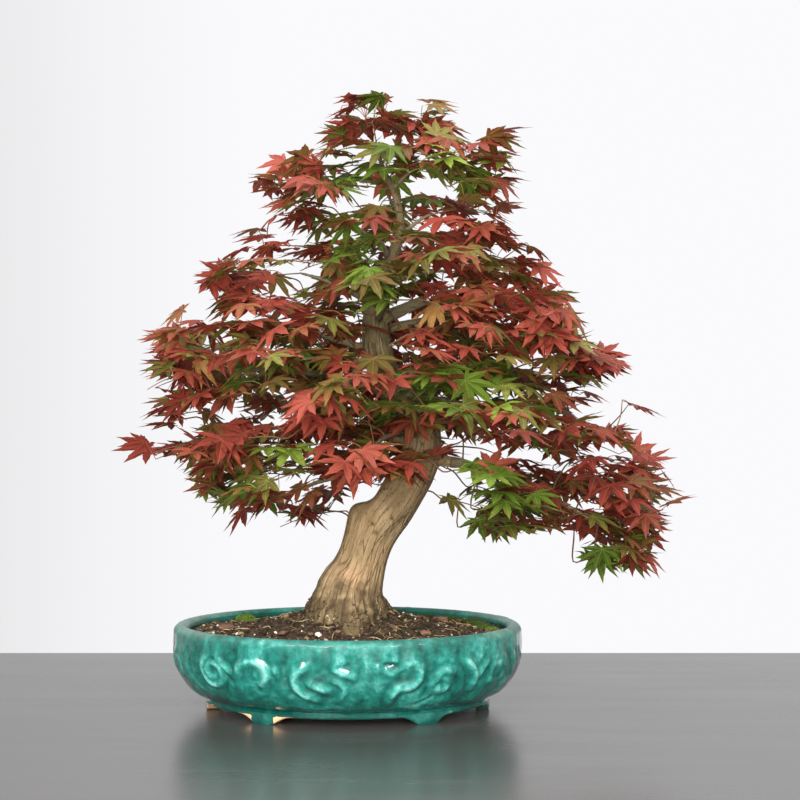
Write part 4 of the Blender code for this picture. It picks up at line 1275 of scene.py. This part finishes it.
GAPS = [
    (-42, 373, 20, 14), (-65, 267, 12, 5), (-130, 245, 26, 8), (71, 448, 18, 12), (88, 192, 14, 24),
    (112, 217, 12, 7), (140, 214, 14, 7), (166, 217, 12, 6), (213, 219, 14, 7), (242, 216, 18, 9),
    (216, 266, 24, 9), (104, 166, 10, 9), (-50, 191, 36, 8), (-78, 168, 24, 4), (-10, 424, 14, 7),
    (130, 420, 16, 7), (286, 192, 12, 8),
]


DEPTH_HEIGHTS = (110, 150, 200, 250, 300, 350, 400, 450, 500, 530)
HALF_DEPTHS = (90, 112, 160, 172, 160, 132, 105, 76, 46, 24)


def depth_at(z):
    """Half the crown's depth at a height."""
    return np.interp(z, DEPTH_HEIGHTS, HALF_DEPTHS)


def in_pads(x, z, pads):
    return any(((x - px) / hw) ** 2 + ((z - pz) / hh) ** 2 < 1 for px, pz, hw, hh in pads)


# %% Twigs at the measured sprays
def core_at(z):
    """The trunk's middle at a height."""
    return np.array([np.interp(z, CORE[:, 2], CORE[:, 0]), np.interp(z, CORE[:, 2], CORE[:, 1]), z])


wood_points = (read_points(wood.data)[::5] - np.array(POT)) / MM
wood_points = wood_points[wood_points[:, 2] > 150]
wood_tree = KDTree(len(wood_points))
for i, p in enumerate(wood_points):
    wood_tree.insert(p, i)
wood_tree.balance()
SPRAYS = sorted(name for name in NODES if name.startswith("spray"))
grow = random.Random(21)
twigs = []  # foot, heading, spray it belongs to
spray_middles = []
for name in SPRAYS:
    shape = (read_points(NODES[name].data) - np.array(POT)) / MM
    spray_middles.append(shape.mean(0))
    foot = min(shape[::3], key=lambda p: wood_tree.find(p)[2])
    ahead = shape.mean(0) - foot
    twigs.append((np.array(foot), math.atan2(ahead[1], ahead[0]), len(spray_middles) - 1))
spray_middles = np.array(spray_middles)
print(len(twigs), "measured sprays")

# %% More twigs, each in the emptiest of a few places
TWIGS = 300


def candidate():
    while True:
        px, pz, hw, hh = PADS[grow.choices(range(len(PADS)), [w * h for _, _, w, h in PADS])[0]]
        x, z = px + hw * grow.uniform(-1, 1), pz + hh * grow.uniform(-1, 1)
        if ((x - px) / hw) ** 2 + ((z - pz) / hh) ** 2 > 1.1:
            continue
        half_left = EYE_X - np.interp(z, OUTLINE[:, 0], OUTLINE[:, 1])
        half_right = np.interp(z, OUTLINE[:, 0], OUTLINE[:, 2]) - EYE_X
        side = (x - 30) / (half_right if x > 30 else half_left)
        round_plan = math.sqrt(max(0.05, 1 - min(1, abs(side)) ** 2.2))
        y = (depth_at(z) - 28) * round_plan * grow.uniform(-1, 1)
        place = behind_view(x, y, z)
        if inside_outline(place, 22) and not in_pads(x, z, GAPS):
            return place


FRONT_TWIGS = [((46, -24, 236), -2.0), ((62, -22, 216), -1.3), ((72, -20, 240), -0.9)]
FRONT_TWIGS += [((60, -18, 330), -1.1)]
for foot, heading in FRONT_TWIGS:
    nearest_spray = int(np.argmin(np.linalg.norm(spray_middles - np.array(foot), axis=1)))
    twigs.append((np.array(foot, float), heading, nearest_spray))
centres = [foot + 30 * np.array((math.cos(heading), math.sin(heading), 0)) for foot, heading, _ in twigs]
while len(twigs) < TWIGS:
    options = [candidate() for _ in range(9)]
    known = np.array(centres) * (1, 1, 1.7)
    room = [np.min(np.linalg.norm(known - option * (1, 1, 1.7), axis=1)) for option in options]
    place = options[int(np.argmax(room))]
    out = place - core_at(place[2])
    heading = math.atan2(out[1], out[0]) + grow.gauss(0, 0.45)
    foot = place - 30 * np.array((math.cos(heading), math.sin(heading), 0))
    nearest_spray = int(np.argmin(np.linalg.norm(spray_middles - place, axis=1)))
    twigs.append((foot, heading, nearest_spray))
    centres.append(place)
print(len(twigs), "twigs")

# %% [markdown]
# Colour goes by place too. Most leaves are red, deepest on the outside. Some pads have stayed green,
# and the inner leaves, which the sun reaches least, are olive. Every leaf gets four painted numbers: how
# green it is, how bright, how far a point is from the midrib, and how far it is along its finger.

# %% Laying one leaf
GREEN_PADS = [
    (6, 456, 27, 20, 0.9), (26, 450, 24, 22, 1.0), (96, 452, 27, 13, 0.9), (93, 478, 13, 10, 0.85),
    (32, 476, 16, 11, 0.55), (4, 400, 24, 12, 0.5), (26, 373, 23, 15, 0.9), (-78, 294, 30, 13, 0.85),
    (-24, 292, 38, 14, 0.4), (-46, 268, 18, 10, 0.45), (-128, 305, 12, 9, 0.6), (66, 269, 30, 16, 1.0),
    (114, 273, 29, 16, 0.95), (152, 268, 26, 13, 0.8), (134, 295, 22, 11, 0.6),
    (-97, 202, 26, 18, 0.75), (-62, 216, 30, 14, 0.5), (-112, 178, 18, 12, 0.45),
    (-80, 168, 26, 12, 0.45), (116, 192, 30, 17, 0.9), (154, 170, 20, 12, 0.5),
    (122, 162, 20, 11, 0.55), (228, 126, 28, 17, 0.9), (160, 220, 18, 12, 0.7),
]


def greenness(place):
    x, z = seen(place)
    here = 0.0
    for gx, gz, hw, hh, amount in GREEN_PADS:
        here = max(here, amount * math.exp(-((((x - gx) / hw) ** 2 + ((z - gz) / hh) ** 2) ** 1.4) * 0.6))
    axis = core_at(place[2])
    inner = math.exp(-((math.hypot(place[0] - axis[0], place[1] - axis[1]) / 85) ** 2)) * 0.22
    return here * (1.0 if place[1] < 70 else 0.6) + inner


heaps = [Heap("green", "tone", "edge", "along") for _ in SPRAYS]
fine_twigs = Heap("shade")
leaves = []


SOFT_TOP, PAST_TOP = 524, 0.45
STALK_TOP, TWIG_TOP, LEVEL_FROM = 521, 517, 484


def leaf_at(base, heading, pitch, size, spray, green=None, tone=None, roll=None, droop=None, width=1.0):
    """Adds a leaf to a spray. Its stalk end is at base and it points to heading.

    Points above SOFT_TOP are pressed down, so that the leaf stays in the tree's height."""
    droop = grow.uniform(0.1, 0.34) if droop is None else droop
    roll = grow.gauss(0, 0.3) if roll is None else roll
    shape = leaf_points.copy()
    shape[:, 0] *= width * grow.uniform(0.88, 1.06)
    shape[:, 0] += 0.1 * grow.uniform(-1, 1) * shape[:, 1] ** 2
    shape[:, 2] *= grow.uniform(0.5, 1.5)
    shape[:, 2] -= droop * (leaf_reach**2) * (0.7 + 0.3 * leaf_edge)
    shape[:, 2] += 0.05 * grow.uniform(-1, 1) * shape[:, 0] * 2
    turn = Matrix.Rotation(heading - math.pi / 2, 3, "Z") @ Matrix.Rotation(pitch, 3, "X")
    turn = turn @ Matrix.Rotation(roll, 3, "Y")
    shape = (shape * size) @ np.array(turn).T + base
    middle = shape.mean(0)
    pressed = SOFT_TOP + (shape[:, 2] - SOFT_TOP) * PAST_TOP
    shape[:, 2] = np.where(shape[:, 2] > SOFT_TOP, pressed, shape[:, 2])
    tip = shape[np.argmax(leaf_points[:, 1])]
    if green is None:
        chance = greenness(middle)
        draw = grow.random()
        green = grow.uniform(0.7, 1.0) if draw < chance else grow.uniform(0.0, 0.34)
        if abs(draw - chance) < 0.17:
            green = grow.uniform(0.34, 0.62)
    tone = grow.random() if tone is None else tone
    along = np.clip(leaf_along, 0, 1)
    heaps[spray].add(shape, leaf_faces, green=green, tone=tone, edge=leaf_edge, along=along)
    leaves.append((middle, tip, green))
    return green, tone


def stalk(start, end, spray, green, tone, thick=0.42):
    middle = (start + end) / 2 + np.array((0, 0, 0.12 * np.linalg.norm(end - start)))
    path = smooth([start, middle, end], 2)
    path[:, 2] = np.minimum(path[:, 2], STALK_TOP)
    radii = np.linspace(thick, 0.3, len(path))
    heaps[spray].add(*tube(path, radii, 3), green=green, tone=tone, edge=0.0, along=0.0)


# Windows that leaves leave open at the front: depth, left, right, lowest and highest
WINDOWS = [(12, 13, 37, 288, 345), (-20, 42, 80, 322, 350)]


def fits(base, heading, pitch, size):
    """Whether a leaf's fingers stay in the outline and out of the windows and most gaps."""
    level = math.cos(pitch)
    for turn, reach in ((0, 1.0), (0.7, 0.93), (-0.7, 0.93), (1.38, 0.7), (-1.38, 0.7)):
        step = np.array((math.cos(heading + turn) * level, math.sin(heading + turn) * level, 0.0))
        step[2] = math.sin(pitch) * math.cos(turn) - 0.2
        tip = base + step * size * reach
        x, z = seen(tip)
        if not inside_outline(tip, -3):
            return False
        for front, left, right, low, high in WINDOWS:
            if tip[1] < front and left < x < right and low < z < high:
                return False
        if in_pads(x, z, GAPS) and grow.random() < 0.75:
            return False
    middle_x, middle_z = seen(base + np.array((math.cos(heading), math.sin(heading), -0.2)) * size * 0.5)
    return not (in_pads(middle_x, middle_z, GAPS) and grow.random() < 0.9)


# %% Hanging the leaves on the twigs
def bearing_of(turn):
    return np.array((math.cos(turn), math.sin(turn), 0.0))


twig_points = []
dropped = 0
order = sorted(range(len(twigs)), key=lambda i: wood_tree.find(twigs[i][0])[2])
for index in order:
    foot, heading, spray = twigs[index]
    length = grow.uniform(40, 58)
    rise = grow.uniform(-0.1, 0.3)
    bend = grow.uniform(-0.35, 0.35)
    nodes = [foot]
    for i in range(4):
        turn = heading + bend * i / 3
        step = bearing_of(turn) * length / 4
        step[2] = (rise - 0.12 * i) * length / 4 if foot[2] < LEVEL_FROM else -0.4
        nodes.append(nodes[-1] + step)
    near, _, gap = wood_tree.find(foot)
    source = np.array(near)
    if twig_points:
        known = np.array(twig_points)
        distance = np.linalg.norm(known - foot, axis=1)
        inner = np.linalg.norm(known[:, :2] - core_at(foot[2])[:2], axis=1)
        distance[inner > math.hypot(*(foot - core_at(foot[2]))[:2]) + 4] = 1e9
        if distance.min() < gap * 0.75:
            source = known[int(distance.argmin())]
    reach = np.linalg.norm(foot - source)
    lift = np.array((0, 0, 0.1 * reach))
    path = smooth([source, source * 0.6 + foot * 0.4 + lift, *nodes], 3)
    thick = np.linspace(0.62 + 0.006 * min(reach, 90), 0.34, len(path))
    fine_twigs.add(*tube(path, thick, 4), shade=grow.random())
    twig_points += list(path[::2])
    spots = []
    for share in (0.3, 0.62, 0.92):
        at = path[-1 - int((1 - share) * 4 * 3)]
        for side in (-1, 1):
            turn = heading + bend * share + side * grow.uniform(0.75, 1.35)
            spots.append((at, turn, grow.uniform(9, 19)))
    spots.append((path[-1], heading + bend + grow.gauss(0, 0.2), grow.uniform(10, 18)))
    for at, turn, long in spots:
        if grow.random() < 0.1:
            continue
        for _ in range(6):
            pitch = grow.gauss(-0.22, 0.26)
            size = grow.triangular(21, 36, 30)
            base = at + bearing_of(turn) * long * 0.95 + np.array((0, 0, grow.uniform(-0.15, 0.35) * long))
            if fits(base, turn, pitch, size):
                green, tone = leaf_at(base, turn, pitch, size, spray)
                stalk(at, base, spray, green, tone)
                break
            turn += grow.gauss(0, 0.5)
            long *= 0.8
        else:
            dropped += 1
print(len(leaves), "leaves on twigs,", dropped, "left out")

# %% [markdown]
# The outline of a real crown is made of single pointed leaves that reach out of the pads. They are laid
# along the outline's table and at a few single places, each with its middle finger's tip there, at the
# depth of a twig that is seen nearby, and with a stalk back to the nearest twig.

# %% Leaves along the outline
twig_tree = KDTree(len(twig_points))
for i, p in enumerate(twig_points):
    twig_tree.insert(p, i)
twig_tree.balance()
twigs_seen = np.array([seen(p) for p in twig_points])


def outline_leaf(x, z, heading, pitch, size, green=None):
    """A leaf whose tip is seen at x, z. Its depth is that of a twig that is seen near its stalk end."""
    ahead = bearing_of(heading) * math.cos(pitch)
    ahead[2] = math.sin(pitch) - 0.12
    base_seen = (x - ahead[0] * size * 1.2, z - ahead[2] * size * 1.2)
    away = np.linalg.norm(twigs_seen - base_seen, axis=1)
    depth = twig_points[grow.choice(np.argsort(away)[:5])][1]
    tip = behind_view(x, depth, z)
    base = tip - ahead * size
    near, _, gap = twig_tree.find(base)
    spray = int(np.argmin(np.linalg.norm(spray_middles - base, axis=1)))
    green, tone = leaf_at(base, heading, pitch, size, spray, droop=0.12, green=green)
    root = np.array(near)
    if gap > 26:
        path = smooth([root, (root + base) / 2 + np.array((0, 0, 3)), base - ahead * 6], 3)
        path[:, 2] = np.minimum(path[:, 2], TWIG_TOP)
        fine_twigs.add(*tube(path, np.linspace(0.7, 0.4, len(path)), 4), shade=grow.random())
        root = path[-1]
    stalk(root, base, spray, green, tone)


before = len(leaves)
for z, left, right in OUTLINE[::-1]:
    if z < 160:
        left = None
    for x, away in ((left, math.pi), (right, 0.0)):
        if x is None:
            continue
        for extra in range(2):
            size = grow.uniform(24, 33)
            inward = 1 if away == 0.0 else -1
            xx = x - inward * extra * grow.uniform(4, 14)
            zz = z + extra * grow.uniform(-5, 5)
            outline_leaf(xx, zz, away + grow.gauss(0, 0.3), grow.gauss(-0.1, 0.2), size)
for x in np.arange(-120, 290, 15):
    z = float(np.interp(x, LOWER_EDGE[:, 0], LOWER_EDGE[:, 1]))
    if -30 < x < 95:
        continue
    away = 0.0 if x > 40 else math.pi
    outline_leaf(x, z + grow.uniform(2, 9), away + grow.gauss(0, 0.7), -0.75, 28)
TOP_PITCHES = (0.5, -0.35, 0.25, -0.5, 0.1)
TOP_TIPS = [
    (-10, 510), (4, 514), (18, 511), (40, 508), (60, 504), (78, 508), (96, 510), (20, 500), (50, 498),
    (66, 498), (82, 496), (40, 492), (-20, 500), (74, 488), (-30, 494), (92, 500), (56, 488),
]
for i, (x, z) in enumerate(TOP_TIPS):
    away = 0.0 if x > 36 else math.pi
    pitch = TOP_PITCHES[i % len(TOP_PITCHES)]
    outline_leaf(x, z, away + grow.gauss(0, 0.5), pitch, 26)
FREE_TIPS = [
    (-205, 221, math.pi, 0.05, 34, 0.05), (160, 499, 0.1, 0.25, 34, 0.1), (160, 452, 0.0, 0.0, 32, 0.1),
    (246, 293, 0.0, -0.05, 34, 0.05), (104, 452, 0.4, -0.1, 28, 0.9), (92, 480, 0.6, 0.0, 24, 0.8),
    (140, 138, 0.6, -0.8, 26, 0.8), (222, 104, 0.9, -1.0, 30, 0.9), (246, 286, 0.2, -0.2, 30, 0.2),
    (-134, 372, 3.0, 0.1, 30, 0.0), (-128, 382, 2.8, 0.1, 28, 0.2), (-122, 364, 3.3, -0.1, 28, 0.1),
    (-122, 349, 3.1, -0.1, 30, 0.1), (-182, 294, 3.1, 0.0, 32, 0.0), (-178, 304, 2.9, 0.1, 30, 0.1),
    (-176, 284, 3.3, -0.1, 30, 0.2), (272, 140, 0.1, -0.2, 32, 0.1), (268, 150, 0.0, 0.0, 30, 0.0),
    (-103, 145, 2.6, -0.9, 30, 0.0), (-90, 154, 3.4, -0.8, 28, 0.1), (-14, 150, 0.2, -0.6, 32, 0.0),
    (-40, 152, 3.4, -0.8, 28, 0.0), (-28, 160, 0.4, -0.4, 28, 0.1), (30, 468, -1.9, -0.3, 28, 0.8),
    (50, 472, -1.3, -0.3, 28, 0.2), (64, 470, -0.9, -0.3, 26, 0.6), (156, 460, 0.1, 0.0, 30, 0.1),
    (150, 446, -0.2, -0.2, 28, 0.2), (190, 351, 0.1, 0.0, 30, 0.1), (186, 342, -0.2, -0.1, 28, 0.1),
    (214, 274, -0.2, -0.2, 30, 0.1), (206, 280, 0.3, 0.0, 28, 0.3), (-134, 366, 3.0, 0.0, 30, 0.1),
    (262, 130, 0.3, -0.5, 28, 0.3), (246, 300, 0.1, 0.0, 30, 0.1), (-182, 240, 3.1, 0.0, 30, 0.1),
    (206, 108, 2.4, -0.9, 28, 0.7), (262, 110, 0.3, -0.7, 28, 0.1),
]
for x, z, away, pitch, size, green in FREE_TIPS:
    outline_leaf(x, z, away, pitch, size, green)
print(len(leaves) - before, "leaves along the outline")

# %% A curled dead leaf by the stub, and a dry one on the left
DEAD = [((76, -58, 343), 2.9, "spray_front_high"), ((-122, -60, 300), -1.2, "spray_left_mid")]
for place, heading, spray_name in DEAD:
    spray = SPRAYS.index(spray_name)
    base = np.array(place, float)
    leaf_at(base, heading, -0.5, 30, spray, green=2.0, tone=0.5, roll=0.7, droop=0.8, width=0.75)
    near = np.array(twig_tree.find(base)[0])
    stalk(near, base, spray, 2.0, 0.4)
empty = [name for name, heap in zip(SPRAYS, heaps) if not heap.points]
print(len(leaves), "leaves in all; sprays without one:", empty)

# %% [markdown]
# A leaf is thin, so light comes through it. Its material mixes an ordinary glossy surface with a
# Translucent one of the same colour. The colour runs from the painted numbers: a pale midrib,
# blotches of the other colour near the palm, and a lighter tip.

# %% Leaf finish
blade = Finish("maple_leaf")
where = blade.place()
green, tone = blade.attribute("green"), blade.attribute("tone")
edge, along = blade.attribute("edge"), blade.attribute("along")
mottle = blade.noise(where, 0.007, detail=3.0, roughness=0.6)
veins = blade.noise(where, 0.0016, detail=3.0, roughness=0.7)
light = (tone + 0.45 * (mottle - 0.5) + 0.15 * (along - 0.4)).clamped()
stops = [
    (0.0, 114, 48, 36), (0.25, 132, 55, 43), (0.5, 143, 59, 46), (0.75, 153, 66, 52),
    (1.0, 164, 80, 64),
]
reds = blade.ramp(light, stops)
stops = [(0.0, 74, 90, 28), (0.35, 90, 112, 36), (0.7, 106, 132, 44), (1.0, 140, 160, 62)]
greens = blade.ramp(light, stops)
olive = blade.mix(light, colour(92, 82, 36), colour(126, 118, 56))
turning = (green + 0.55 * (mottle - 0.5) - 0.18 * along * edge).clamped()
tint = blade.mix(turning.step(0.12, 0.42), reds, olive)
tint = blade.mix(turning.step(0.46, 0.74), tint, greens)
dry = blade.mix((mottle * 0.6 + tone * 0.5).clamped(), colour(116, 70, 34), colour(202, 150, 88))
tint = blade.mix(green.step(1.3, 1.6), tint, dry)
rib = (1 - edge.step(0.0, 0.16)) * 0.4
tint = blade.mix(rib, tint, blade.mix(turning.step(0.35, 0.6), colour(196, 104, 84), colour(168, 184, 104)))
tint = blade.mix((veins - 0.55).step(0.0, 0.12) * 0.25, tint, colour(60, 34, 22))
blade.set(Base_Color=tint, Roughness=0.42 + 0.2 * mottle, Specular_IOR_Level=0.35)
ribs = edge + 0.5 * veins
blade.set(Normal=blade.bumps(ribs, 0.0006, 0.5))
glow = blade.node("ShaderNodeBsdfTranslucent", sockets={"Color": tint})
both = blade.node("ShaderNodeMixShader", sockets={0: 0.36})
blade.links.new(blade.shader.outputs[0], both.socket.node.inputs[1])
blade.links.new(glow.socket, both.socket.node.inputs[2])
blade.links.new(both.socket, blade.nodes["Material Output"].inputs["Surface"])

twig_bark = Finish("twig_bark")
where = twig_bark.place()
young = twig_bark.noise(where, 0.012, detail=3.0)
shade = twig_bark.attribute("shade")
older = (young * 0.7 + 0.4 * shade).clamped()
twig_bark.set(Base_Color=twig_bark.mix(older, colour(62, 40, 30), colour(122, 92, 62)))
twig_bark.set(Roughness=0.7, Normal=twig_bark.bumps(twig_bark.noise(where, 0.001), 0.0003, 0.6))

for name, heap in zip(SPRAYS, heaps):
    heap.build(name.replace("spray", "leaves"), "maple_leaf", blade, name, smooth_faces=False)
fine_twigs.build("fine_twigs", "maple_bark", twig_bark)
print(sum(len(heap.faces) for heap in heaps), "faces in the crown")
